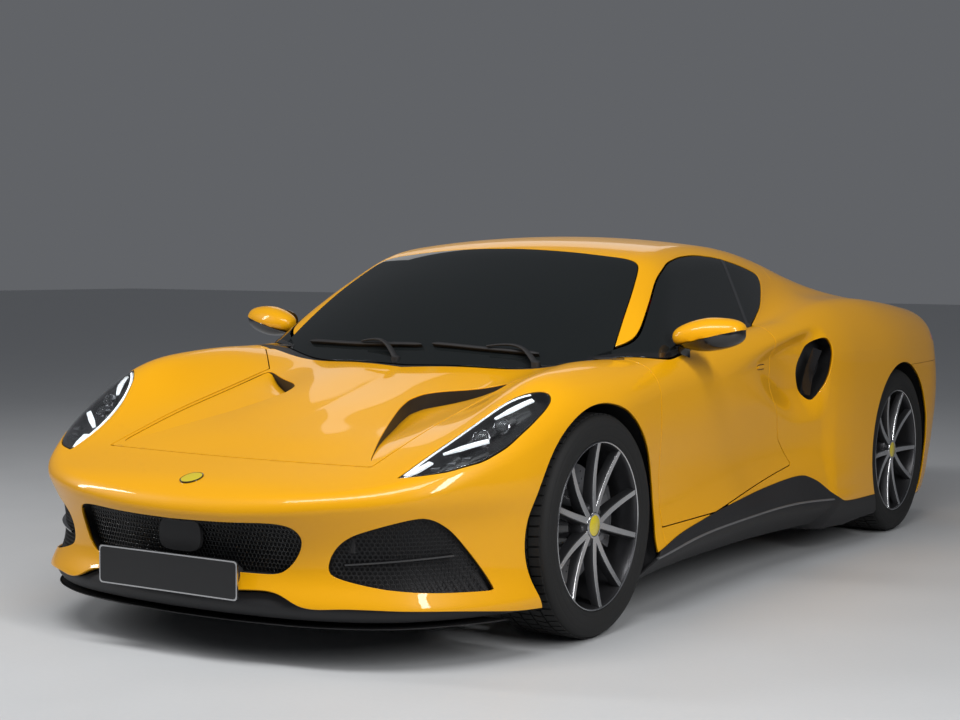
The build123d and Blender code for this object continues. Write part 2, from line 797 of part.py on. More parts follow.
# ---------------------------------------------------------------- sills, skirts, arch liners
with BuildPart() as sills:
    add(body_solid)
    add(side_prism(sill_outline, door_inner_x, wide), mode=Mode.INTERSECT)
    add(side_prism(skirt_outline, 0, wide, seam), mode=Mode.SUBTRACT)
    add(arches.part, mode=Mode.SUBTRACT)
    mirror(about=Plane.YZ)
save(sills, "sills")

with BuildPart() as side_skirts:
    add(body_solid)
    add(side_prism(skirt_outline, door_inner_x, wide), mode=Mode.INTERSECT)
    add(side_prism(bumper_outline, 0, wide, seam), mode=Mode.SUBTRACT)
    add(front_wing.part, mode=Mode.SUBTRACT)
    add(arches.part, mode=Mode.SUBTRACT)
    mirror(about=Plane.YZ)
save(side_skirts, "side_skirts")

liner_inner_x = 620.0
with BuildPart() as arch_liners:
    for wheel in wheel_table.values():
        centre_z = wheel.tyre_radius + arch_lift
        add(cylinder_x(liner_inner_x, wide, wheel.axle_y, centre_z, house_radius - seam))
        add(
            cylinder_x(liner_inner_x, wide, wheel.axle_y, centre_z, house_radius - seam - liner_wall),
            mode=Mode.SUBTRACT,
        )
    add(body_core, mode=Mode.INTERSECT)
    add(side_prism([(-far_y, 0), (-far_y, 260), (far_y, 260), (far_y, 0)], 0, wide), mode=Mode.SUBTRACT)
    add(tailgate_gap, mode=Mode.SUBTRACT)
    mirror(about=Plane.YZ)
save(arch_liners, "arch_liners")
print("sills, liners")

# ---------------------------------------------------------------- tub and frames
floor_z = 125.0
floor_wall = 20.0
tub_wall = 20.0
front_frame_x = 460.0  # outer face of the front luggage tub
rear_frame_x = 480.0  # outer face of the rear frame rails
front_bulkhead_y = front_axle_y + 345.0
rear_bulkhead_y = 610.0
front_tub_y = nose_y + 410.0
buffer_radius = 12.0
seat_floor_z = floor_z + floor_wall
rail_low_z = 450.0
rail_high_z = 525.0
tower_wall = 30.0
strut_x = 560.0
strut_top_z = {"front": 620.0, "rear": 665.0}
strut_radius = 27.0
strut_shift_y = {"front": 0.0, "rear": -85.0}
driveshaft_radius = 17.0
engine_low_z = 150.0
tub_nose_z = 490.0
tub_tower_z = 655.0
tub_rear_z = 670.0
front_bulkhead_z = 740.0
rear_bulkhead_z = 940.0
beam_width = 60.0
crash_beam_x = 300.0
crash_beam_reach = 540.0
crash_beam_set_back = 170.0
crash_beam_levels = (330.0, 430.0)
rear_beam_set_back = 180.0
rocker_width = 45.0
rocker_z = 262.0
hinge_post_levels = (480.0, 690.0)
post_set_in = 28.0
lug_reach = 40.0
lug_half = 8.0
lug_depth = 10.0
lug_height = 16.0
tower_reach = 45.0
front_tower_half = 40.0
cradle_half = 170.0
engine_tray_reach = 330.0
front_buffer_reach = 300.0
front_buffer_z = 400.0
rear_buffer_x = 430.0
rear_buffer_set_back = 210.0


def block(x_low, x_high, y_low, y_high, z_low, z_high):
    """A plain block between six faces."""
    with BuildPart() as box:
        with BuildSketch(Plane.XY.offset(z_low)):
            with Locations(((x_low + x_high) / 2, (y_low + y_high) / 2)):
                Rectangle(x_high - x_low, y_high - y_low)
        extrude(amount=z_high - z_low)
    return box.part


tub_side_outline = [
    (front_tub_y, floor_z),
    (front_tub_y, tub_nose_z),
    (front_axle_y, tub_tower_z),
    (front_bulkhead_y, tub_rear_z),
    (front_bulkhead_y, floor_z),
]
cabin_low_y = front_bulkhead_y - tub_wall
cabin_high_y = rear_bulkhead_y + tub_wall
with BuildPart() as tub:
    add(block(-front_frame_x, front_frame_x, front_tub_y, front_bulkhead_y, floor_z, seat_floor_z))
    add(side_prism(tub_side_outline, front_frame_x - tub_wall, front_frame_x))
    add(side_prism(tub_side_outline, -front_frame_x, tub_wall - front_frame_x))
    add(block(-front_frame_x, front_frame_x, front_tub_y, front_tub_y + tub_wall, floor_z, tub_nose_z))
    for side in (-1, 1):
        beam = sorted((side * crash_beam_x, side * (crash_beam_x + beam_width)))
        add(block(*beam, nose_y + crash_beam_set_back + beam_width, front_tub_y, *crash_beam_levels))
    add(
        block(
            -crash_beam_reach,
            crash_beam_reach,
            nose_y + crash_beam_set_back,
            nose_y + crash_beam_set_back + beam_width,
            *crash_beam_levels,
        )
    )
    add(block(-door_inner_x, door_inner_x, cabin_low_y, cabin_high_y, floor_z, seat_floor_z))
    add(block(-door_inner_x, door_inner_x, cabin_low_y, front_bulkhead_y, floor_z, front_bulkhead_z))
    add(block(-door_inner_x, door_inner_x, rear_bulkhead_y, cabin_high_y, floor_z, rear_bulkhead_z))
    for side in (-1, 1):
        rocker = sorted((side * (door_inner_x - rocker_width), side * door_inner_x))
        add(block(*rocker, cabin_low_y, cabin_high_y, floor_z, rocker_z))
        post = sorted((side * (door_inner_x - rocker_width), side * (hinge_x - post_set_in)))
        add(block(*post, cabin_low_y, hinge_y + 2, *hinge_post_levels))
        lug = sorted((side * (hinge_x - lug_reach), side * (hinge_x + lug_half)))
        lug_face = (*lug, hinge_y - lug_depth, hinge_y + lug_depth)
        bottom = hinge_levels[0] - hinge_arm_height / 2
        top = hinge_levels[1] + hinge_arm_height / 2
        middle = (bottom + hinge_arm_height + lug_gap, top - hinge_arm_height - lug_gap)
        add(block(*lug_face, bottom - lug_height, bottom - lug_gap))
        add(block(*lug_face, *middle))
        add(block(*lug_face, top + lug_gap, top + lug_height))
        pin_ends = (bottom - lug_height, top + lug_height)
        add(vertical_cylinder(side * hinge_x, hinge_y, *pin_ends, hinge_pin_radius))
        rail = sorted((side * (rear_frame_x - beam_width), side * rear_frame_x))
        add(block(*rail, rear_bulkhead_y, tail_y - rear_beam_set_back, rail_low_z, rail_high_z))
        tower = sorted((side * (rear_frame_x - beam_width), side * (strut_x + tower_reach)))
        strut_y = rear_axle_y + strut_shift_y["rear"]
        tower_y = (strut_y - tower_reach, strut_y + tower_reach)
        add(block(*tower, *tower_y, strut_top_z["rear"], strut_top_z["rear"] + tower_wall))
        add(block(*rail, *tower_y, rail_low_z, strut_top_z["rear"] + tower_wall))
        add(block(*rail, rear_axle_y - cradle_half, rear_axle_y + cradle_half, floor_z, rail_low_z))
    tray_y = (rear_bulkhead_y, rear_axle_y + engine_tray_reach)
    add(block(-rear_frame_x, rear_frame_x, *tray_y, floor_z, engine_low_z))
    add(
        block(
            -rear_frame_x,
            rear_frame_x,
            tail_y - rear_beam_set_back - beam_width,
            tail_y - rear_beam_set_back,
            rail_low_z,
            rail_high_z,
        )
    )
    boss_y = (tail_y - rear_beam_set_back - beam_width, tail_y - rear_beam_set_back)
    add(block(-tip_x, tow_x + tow_boss_half, *boss_y, tow_z - tow_boss_half, rail_low_z))
    for x in (-front_frame_x + tub_wall, front_frame_x - tub_wall):
        add(vertical_cylinder(x, front_axle_y - front_buffer_reach, front_buffer_z, high, buffer_radius))
    for x in (-rear_buffer_x, rear_buffer_x):
        add(vertical_cylinder(x, tail_y - rear_buffer_set_back, rail_high_z - tub_wall, high, buffer_radius))
    add(body_core.moved(Location((0, 0, -rest_gap))), mode=Mode.INTERSECT)
    add(
        cylinder_x(-wide, wide, rear_axle_y, wheel_table["rear"].tyre_radius, 3 * driveshaft_radius),
        mode=Mode.SUBTRACT,
    )
    add(arches.part, mode=Mode.SUBTRACT)
    for side in (-1, 1):
        tower = sorted((side * (front_frame_x - tub_wall), side * (strut_x + tower_reach)))
        tower_y = (front_axle_y - front_tower_half, front_axle_y + front_tower_half)
        add(block(*tower, *tower_y, strut_top_z["front"], strut_top_z["front"] + tower_wall))
    with BuildSketch(Plane.XZ.offset(-far_y)):
        with Locations((tow_x, tow_z)):
            Circle(tow_thread_radius)
        with Locations((tip_x, tip_z), (-tip_x, tip_z)):
            Circle(tip_radius + seam)
    extrude(amount=far_y - tail_split_y, mode=Mode.SUBTRACT)


def tub_section(y_low, y_high):
    """The length of the tub between two cross planes."""
    with BuildPart() as section:
        add(tub.part)
        add(block(-wide, wide, y_low, y_high, 0, high), mode=Mode.INTERSECT)
    return section


front_frame = tub_section(-far_y, cabin_low_y)
chassis = tub_section(cabin_low_y, cabin_high_y)
rear_frame = tub_section(cabin_high_y, far_y)
save(front_frame, "front_frame")
save(chassis, "chassis")
save(rear_frame, "rear_frame")
print("tub", *(len(piece.part.solids()) for piece in (front_frame, chassis, rear_frame)))

engine_length = 560.0
with BuildPart() as engine:
    add(block(-270, 270, rear_bulkhead_y + 100, rear_bulkhead_y + 100 + engine_length, engine_low_z, 640))
    add(block(-170, 170, rear_bulkhead_y + 100, rear_axle_y + 380, engine_low_z, 500))
    add(
        cylinder_x(-wide, wide, rear_axle_y, wheel_table["rear"].tyre_radius, driveshaft_radius + pin_play),
        mode=Mode.SUBTRACT,
    )
save(engine, "engine")

# ---------------------------------------------------------------- wheels
hub_bore_radius = 35.0
spindle_depth = 100.0  # inboard of the wheel's middle
hub_face = 44.0  # wheel's seat on the hub, outboard of its middle
disc_wall = 28.0
disc_face = 10.0
barrel_wall = 9.0
barrel_radius = 238.0
flange_height = 10.0
spoke_angles = (-11.0, 11.0)
spoke_foot_angle = 5.0
spoke_width = 24.0
spoke_back = 72.0
spoke_wall = 26.0
hub_cap_radius = 68.0
tread_shoulder = 26.0


def wheel_plane(wheel, out):
    """A plane facing outboard on the left wheel, out from the wheel's middle."""
    return Plane(
        origin=(wheel.track_x + out, wheel.axle_y, wheel.tyre_radius),
        x_dir=(0, 1, 0),
        z_dir=(1, 0, 0),
    )


def ring(wheel, outline):
    """A solid of revolution about the left wheel's axle from (out, radius) points."""
    points = [(wheel.track_x + out, wheel.tyre_radius + radius) for out, radius in outline]
    with BuildPart() as turned:
        with BuildSketch(Plane.XZ.offset(-wheel.axle_y)):
            with BuildLine():
                Polyline(points, close=True)
            make_face()
        revolve(axis=Axis((0, wheel.axle_y, wheel.tyre_radius), (1, 0, 0)))
    return turned.part


for end, wheel in wheel_table.items():
    half = wheel.tyre_width / 2
    bead = half - 14.0
    with BuildPart() as tyre:
        add(
            ring(
                wheel,
                [
                    (-bead, rim_radius),
                    (-bead, rim_radius + flange_height + 2),
                    (-half, rim_radius + 38),
                    (-half + 3, wheel.tyre_radius - tread_shoulder),
                    (-half + tread_shoulder, wheel.tyre_radius),
                    (half - tread_shoulder, wheel.tyre_radius),
                    (half - 3, wheel.tyre_radius - tread_shoulder),
                    (half, rim_radius + 38),
                    (bead, rim_radius + flange_height + 2),
                    (bead, rim_radius),
                ],
            )
        )
    with BuildPart() as rim:
        add(
            ring(
                wheel,
                [
                    (-bead - 8, rim_radius + flange_height),
                    (-bead - seam, rim_radius + flange_height),
                    (-bead - seam, rim_radius - seam),
                    (-bead + 30, rim_radius - seam),
                    (-bead + 50, barrel_radius),
                    (bead - 50, barrel_radius),
                    (bead - 30, rim_radius - seam),
                    (bead + seam, rim_radius - seam),
                    (bead + seam, rim_radius + flange_height),
                    (bead + 8, rim_radius + flange_height),
                    (bead + 8, rim_radius - barrel_wall),
                    (bead - 34, rim_radius - barrel_wall),
                    (bead - 54, barrel_radius - barrel_wall),
                    (54 - bead, barrel_radius - barrel_wall),
                    (34 - bead, rim_radius - barrel_wall),
                    (-bead - 8, rim_radius - barrel_wall),
                ],
            )
        )
        spoke_plane = wheel_plane(wheel, spoke_back)
        with BuildSketch(spoke_plane):
            for turn in range(5):
                for tip in spoke_angles:
                    base = 90 + 72 * turn
                    foot = radians(base + tip * spoke_foot_angle / spoke_angles[1])
                    reach = radians(base + tip)
                    across = (-sin(reach) * spoke_width / 2, cos(reach) * spoke_width / 2)
                    root = (cos(foot) * hub_cap_radius / 2, sin(foot) * hub_cap_radius / 2)
                    end_point = (cos(reach) * (rim_radius - 4), sin(reach) * (rim_radius - 4))
                    with BuildLine():
                        Polyline(
                            (root[0] + across[0], root[1] + across[1]),
                            (root[0] - across[0], root[1] - across[1]),
                            (end_point[0] - across[0], end_point[1] - across[1]),
                            (end_point[0] + across[0], end_point[1] + across[1]),
                            close=True,
                        )
                    make_face()
            Circle(hub_cap_radius)
        extrude(amount=spoke_wall)
        with BuildSketch(wheel_plane(wheel, hub_face)):
            Circle(hub_cap_radius)
        extrude(amount=spoke_back - hub_face)
    with BuildPart() as hub:
        with BuildSketch(wheel_plane(wheel, disc_face - disc_wall)):
            Circle(wheel.disc_radius)
        extrude(amount=disc_wall)
        with BuildSketch(wheel_plane(wheel, -spindle_depth)):
            Circle(hub_bore_radius)
        extrude(amount=spindle_depth + hub_face)
        with BuildSketch(wheel_plane(wheel, disc_face)):
            Circle(hub_cap_radius + 14)
        extrude(amount=hub_face - disc_face)
        if end == "rear":
            add(
                cylinder_x(
                    150, wheel.track_x - spindle_depth, wheel.axle_y, wheel.tyre_radius, driveshaft_radius
                )
            )
    for side in ("left", "right"):
        for piece, builder in (("tyre", tyre), ("rim", rim), ("hub", hub)):
            with BuildPart() as placed:
                if side == "left":
                    add(builder.part)
                else:
                    mirror(builder.part, about=Plane.YZ)
            save(placed, f"{piece}_{end}_{side}")

# ---------------------------------------------------------------- knuckles and suspension
kingpin_in = 62.0  # inboard of the wheel's middle
ball_pin_radius = 10.0
ball_pin_length = 22.0
arm_level = 158.0  # arms above and below the axle
arm_height = 20.0
arm_gap = 0.5
arm_eye_radius = 23.0
arm_width = 28.0
arm_spread = 108.0  # inner pivots fore and aft of the axle
knuckle_width = 60.0
bearing_radius = 56.0
caliper_inner = 112.0
caliper_foot_inner = 30.0
caliper_outer = 214.0
caliper_half_angle = 27.0
caliper_in = 46.0
caliper_out = 37.0
caliper_angle = {"front": 0.0, "rear": 180.0}  # 0 points to the rear of the car
disc_clearance = 6.0
frame_x = {"front": front_frame_x, "rear": rear_frame_x}

knuckles = {}
for end, wheel in wheel_table.items():
    kingpin_x = wheel.track_x - kingpin_in
    hub_z = wheel.tyre_radius
    with BuildPart() as knuckle:
        add(
            block(
                kingpin_x - 22,
                kingpin_x + 22,
                wheel.axle_y - knuckle_width / 2,
                wheel.axle_y + knuckle_width / 2,
                hub_z - arm_level + arm_gap,
                hub_z + arm_level - arm_gap,
            )
        )
        add(cylinder_x(kingpin_x - 24, kingpin_x + 36, wheel.axle_y, hub_z, bearing_radius))
        add(
            vertical_cylinder(
                kingpin_x,
                wheel.axle_y,
                hub_z - arm_level - ball_pin_length,
                hub_z + arm_level + ball_pin_length,
                ball_pin_radius,
            )
        )
        for low, out, inner in (
            (-caliper_in, caliper_out, caliper_inner),
            (-caliper_in, disc_face - disc_wall - disc_clearance, caliper_foot_inner),
        ):
            with BuildSketch(wheel_plane(wheel, low)):
                with BuildLine():
                    begin = caliper_angle[end] - caliper_half_angle
                    finish = caliper_angle[end] + caliper_half_angle
                    CenterArc((0, 0), caliper_outer, begin, 2 * caliper_half_angle)
                    Line(
                        (caliper_outer * cos(radians(finish)), caliper_outer * sin(radians(finish))),
                        (inner * cos(radians(finish)), inner * sin(radians(finish))),
                    )
                    CenterArc((0, 0), inner, begin, 2 * caliper_half_angle)
                    Line(
                        (inner * cos(radians(begin)), inner * sin(radians(begin))),
                        (caliper_outer * cos(radians(begin)), caliper_outer * sin(radians(begin))),
                    )
                make_face()
            extrude(amount=out - low)
        with BuildSketch(wheel_plane(wheel, disc_face - disc_wall - disc_clearance)):
            Circle(wheel.disc_radius + disc_clearance)
        extrude(amount=disc_wall + 2 * disc_clearance, mode=Mode.SUBTRACT)
        with BuildSketch(wheel_plane(wheel, disc_face)):
            Circle(hub_cap_radius + 14 + disc_clearance)
        extrude(amount=hub_face, mode=Mode.SUBTRACT)
        with BuildSketch(wheel_plane(wheel, -kingpin_in - bearing_radius)):
            Circle(hub_bore_radius + pin_play)
        extrude(amount=kingpin_in + 2 * bearing_radius, mode=Mode.SUBTRACT)
    knuckles[end] = knuckle
    print(end, "knuckle", len(knuckle.part.solids()))

with BuildPart() as knuckle_front_right:
    mirror(knuckles["front"].part, about=Plane.YZ)
save(knuckles["front"], "knuckle_front_left")
save(knuckle_front_right, "knuckle_front_right")

for end, wheel in wheel_table.items():
    kingpin_x = wheel.track_x - kingpin_in
    hub_z = wheel.tyre_radius
    strut_y = wheel.axle_y + strut_shift_y[end]
    with BuildPart() as suspension:
        for arm_z in (hub_z - arm_level - arm_height, hub_z + arm_level):
            with BuildSketch(Plane.XY.offset(arm_z)):
                with Locations((kingpin_x, wheel.axle_y)):
                    Circle(arm_eye_radius)
                for spread in (-arm_spread, arm_spread):
                    with BuildLine():
                        Polyline(
                            (kingpin_x, wheel.axle_y - arm_width / 2),
                            (kingpin_x, wheel.axle_y + arm_width / 2),
                            (frame_x[end], wheel.axle_y + spread + arm_width / 2),
                            (frame_x[end], wheel.axle_y + spread - arm_width / 2),
                            close=True,
                        )
                    make_face()
                if arm_z < hub_z:
                    with Locations((strut_x, wheel.axle_y + strut_shift_y[end] / 2)):
                        Rectangle(2 * strut_radius, 110 + abs(strut_shift_y[end]))
                with Locations((kingpin_x, wheel.axle_y)):
                    Circle(ball_pin_radius + pin_play, mode=Mode.SUBTRACT)
            extrude(amount=arm_height)
        add(vertical_cylinder(strut_x, strut_y, hub_z - arm_level, strut_top_z[end] - 150, strut_radius))
        add(vertical_cylinder(strut_x, strut_y, hub_z, strut_top_z[end], strut_radius / 2))
        if end == "rear":
            add(knuckles["rear"].part)
        mirror(about=Plane.YZ)
    print(end, "suspension", len(suspension.part.solids()))
    save(suspension, f"{end}_suspension")

# ---------------------------------------------------------------- cabin
dash_outline = [
    (front_bulkhead_y, 560),
    (front_bulkhead_y, 745),
    (-700, 800),
    (-560, 812),
    (-480, 770),
    (-500, 650),
    (-640, 560),
]
dash_half_width = 690.0
console_half_width = 110.0
column_x = -370.0
column_y = -375.0
column_z = 720.0
column_tilt = 24.0
column_radius = 18.0
grip_radius = 14.0
wheel_rim_radius = 172.0
column_plane = Plane(
    origin=(column_x, column_y, column_z),
    x_dir=(1, 0, 0),
    z_dir=(0, cos(radians(column_tilt)), sin(radians(column_tilt))),
)

with BuildPart() as column_bore:
    with BuildSketch(column_plane.offset(-260)):
        Circle(column_radius + pin_play)
    extrude(amount=200)

with BuildPart() as dashboard:
    add(side_prism(dash_outline, -dash_half_width, dash_half_width))
    add(block(-console_half_width, console_half_width, front_bulkhead_y, -300, seat_floor_z, 600))
    add(block(-console_half_width, console_half_width, -300, 150, seat_floor_z, 430))
    add(inside.part, mode=Mode.INTERSECT)
    add(tub.part, mode=Mode.SUBTRACT)
    add(column_bore.part, mode=Mode.SUBTRACT)
save(dashboard, "dashboard")
print("dash", len(dashboard.part.solids()))

with BuildPart() as steering_wheel:
    with BuildSketch(Plane(origin=column_plane.origin, x_dir=column_plane.z_dir, z_dir=(-1, 0, 0))):
        with Locations((0, wheel_rim_radius)):
            Circle(grip_radius)
    revolve(axis=Axis(column_plane.origin, column_plane.z_dir))
    with BuildSketch(column_plane.offset(-12)):
        Circle(58)
        Rectangle(2 * wheel_rim_radius - grip_radius, 36)
        with Locations((0, -wheel_rim_radius / 2)):
            Rectangle(36, wheel_rim_radius - grip_radius)
    extrude(amount=20)
    with BuildSketch(column_plane.offset(-200)):
        Circle(column_radius)
    extrude(amount=195)
save(steering_wheel, "steering_wheel")
print("steering wheel", len(steering_wheel.part.solids()))

seat_x = 370.0
seat_half_width = 245.0
seat_outline = [
    (-290, seat_floor_z),
    (-310, 300),
    (-280, 350),
    (120, 300),
    (330, 900),
    (400, 960),
    (470, 940),
    (470, 860),
    (270, 260),
    (250, seat_floor_z),
]
with BuildPart() as seats:
    add(side_prism(seat_outline, seat_x - seat_half_width, seat_x + seat_half_width))
    mirror(about=Plane.YZ)
save(seats, "seats")

with BuildPart() as exhaust_tips:
    with BuildSketch(Plane.XZ.offset(-tail_y + 8)):
        with Locations((tip_x, tip_z), (-tip_x, tip_z)):
            Circle(tip_radius)
            Circle(tip_radius - tip_wall, mode=Mode.SUBTRACT)
    extrude(amount=240)
save(exhaust_tips, "exhaust_tips")
print("all pieces")
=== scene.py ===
import math

import bmesh
import bpy
import numpy as np
from mathutils import Matrix, Vector


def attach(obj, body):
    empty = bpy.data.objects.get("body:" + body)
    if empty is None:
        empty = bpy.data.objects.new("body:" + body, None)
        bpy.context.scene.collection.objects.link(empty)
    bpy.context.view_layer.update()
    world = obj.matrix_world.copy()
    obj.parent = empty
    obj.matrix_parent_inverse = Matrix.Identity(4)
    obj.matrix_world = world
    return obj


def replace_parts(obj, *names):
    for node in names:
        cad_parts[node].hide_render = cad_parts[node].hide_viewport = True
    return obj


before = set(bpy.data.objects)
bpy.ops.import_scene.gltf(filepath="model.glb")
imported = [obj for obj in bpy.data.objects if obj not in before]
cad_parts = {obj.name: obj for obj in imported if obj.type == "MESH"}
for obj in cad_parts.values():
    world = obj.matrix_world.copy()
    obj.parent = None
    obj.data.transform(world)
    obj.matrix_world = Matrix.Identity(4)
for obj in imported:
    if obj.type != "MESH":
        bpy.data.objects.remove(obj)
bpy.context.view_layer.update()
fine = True
print("frame loaded")

# Frame: X to the car's left, Y to the rear, Z up, metres.
cameraShape = {
    "place": (3.365, -5.873, 1.139), "yaw": 32.26, "pitch": -3.32, "roll": 0.38, "focal": 1750.5,
    "wide": 960
}


def makeCamera():
    yaw, pitch, roll = (math.radians(cameraShape[k]) for k in ("yaw", "pitch", "roll"))
    forward = Vector((-math.sin(yaw) * math.cos(pitch), math.cos(yaw) * math.cos(pitch), math.sin(pitch)))
    right = Vector((math.cos(yaw), math.sin(yaw), 0))
    up = right.cross(forward)
    turnedRight = math.cos(roll) * right + math.sin(roll) * up
    turnedUp = -math.sin(roll) * right + math.cos(roll) * up
    camera = bpy.data.objects.new("camera", bpy.data.cameras.new("camera"))
    camera.data.sensor_width = 36
    camera.data.lens = 36 * cameraShape["focal"] / cameraShape["wide"]
    turn = Matrix((turnedRight, turnedUp, -forward)).transposed().to_4x4()
    camera.matrix_world = Matrix.Translation(cameraShape["place"]) @ turn
    bpy.context.scene.collection.objects.link(camera)
    bpy.context.scene.camera = camera


makeCamera()


def nodeGroup(name, inputs, outputs):
    group = bpy.data.node_groups.new(name, "ShaderNodeTree")
    for label, kind, value in inputs:
        socket = group.interface.new_socket(label, in_out="INPUT", socket_type=kind)
        if value is not None:
            socket.default_value = value
    for label, kind in outputs:
        group.interface.new_socket(label, in_out="OUTPUT", socket_type=kind)
    return group, group.nodes.new("NodeGroupInput"), group.nodes.new("NodeGroupOutput")


# A node with its settings by name and its inputs linked or set.
def addNode(tree, kind, links=None, **values):
    node = tree.nodes.new(kind)
    for key, value in values.items():
        setattr(node, key, value)
    for key, value in (links or {}).items():
        if isinstance(value, bpy.types.NodeSocket):
            tree.links.new(value, node.inputs[key])
        else:
            node.inputs[key].default_value = value
    return node


# Fine grain over the surface: a mask for colour and roughness, and a height for bump.
def makeGrain():
    group, inputs, outputs = nodeGroup(
        "surfaceGrain",
        [
            ("Scale", "NodeSocketFloat", 300.0), ("Spread", "NodeSocketFloat", 0.3),
            ("Stretch", "NodeSocketVector", (1, 1, 1))
        ],
        [("Mask", "NodeSocketFloat"), ("Height", "NodeSocketFloat")]
    )
    place = addNode(group, "ShaderNodeTexCoord")
    turned = addNode(
        group, "ShaderNodeVectorMath", {0: place.outputs["Object"], 1: inputs.outputs["Stretch"]},
        operation="MULTIPLY"
    )
    small = addNode(
        group, "ShaderNodeTexNoise",
        {"Vector": turned.outputs[0], "Scale": inputs.outputs["Scale"], "Detail": 3.0}
    )
    broad = addNode(
        group, "ShaderNodeTexNoise", {"Vector": place.outputs["Object"], "Scale": 2.3, "Detail": 2.0}
    )
    both = addNode(
        group, "ShaderNodeMath", {0: small.outputs["Fac"], 1: broad.outputs["Fac"]}, operation="ADD"
    )
    half = addNode(group, "ShaderNodeMath", {0: both.outputs[0], 1: -1.0}, operation="ADD")
    spread = addNode(
        group, "ShaderNodeMath", {0: half.outputs[0], 1: inputs.outputs["Spread"], 2: 0.5},
        operation="MULTIPLY_ADD"
    )
    group.links.new(spread.outputs[0], outputs.inputs["Mask"])
    group.links.new(small.outputs["Fac"], outputs.inputs["Height"])
    return group


grainGroup = makeGrain()


# A finish whose colour and roughness drift over the surface between two values.
def finish(name, dark, light, rough, bump=0.0, scale=300.0, spread=0.6, stretch=(1, 1, 1), **sockets):
    material = bpy.data.materials.new(name)
    material.use_nodes = True
    tree = material.node_tree
    shader = tree.nodes["Principled BSDF"]
    grain = addNode(tree, "ShaderNodeGroup", node_tree=grainGroup)
    grain.inputs["Scale"].default_value = scale
    grain.inputs["Spread"].default_value = spread
    grain.inputs["Stretch"].default_value = stretch
    colour = addNode(tree, "ShaderNodeMix", data_type="RGBA")
    tree.links.new(grain.outputs["Mask"], colour.inputs["Factor"])
    colour.inputs["A"].default_value = (*dark, 1)
    colour.inputs["B"].default_value = (*light, 1)
    tree.links.new(colour.outputs["Result"], shader.inputs["Base Color"])
    mapped = addNode(
        tree, "ShaderNodeMapRange", {"Value": grain.outputs["Mask"], "To Min": rough[0], "To Max": rough[1]}
    )
    tree.links.new(mapped.outputs[0], shader.inputs["Roughness"])
    if bump:
        bumped = addNode(
            tree, "ShaderNodeBump", {"Height": grain.outputs["Height"], "Strength": bump, "Distance": 0.001}
        )
        tree.links.new(bumped.outputs[0], shader.inputs["Normal"])
    for key, value in sockets.items():
        shader.inputs[key.replace("_", " ")].default_value = value
    return material


# Glass in one sheet: near-black windows whose colour is painted shade of the cabin behind them, and clear
# lamp covers.
def glassSheetFinish(name, dark, light, rough, clear):
    return finish(name, dark, light, rough, spread=0.2, Transmission_Weight=clear, IOR=1.38)


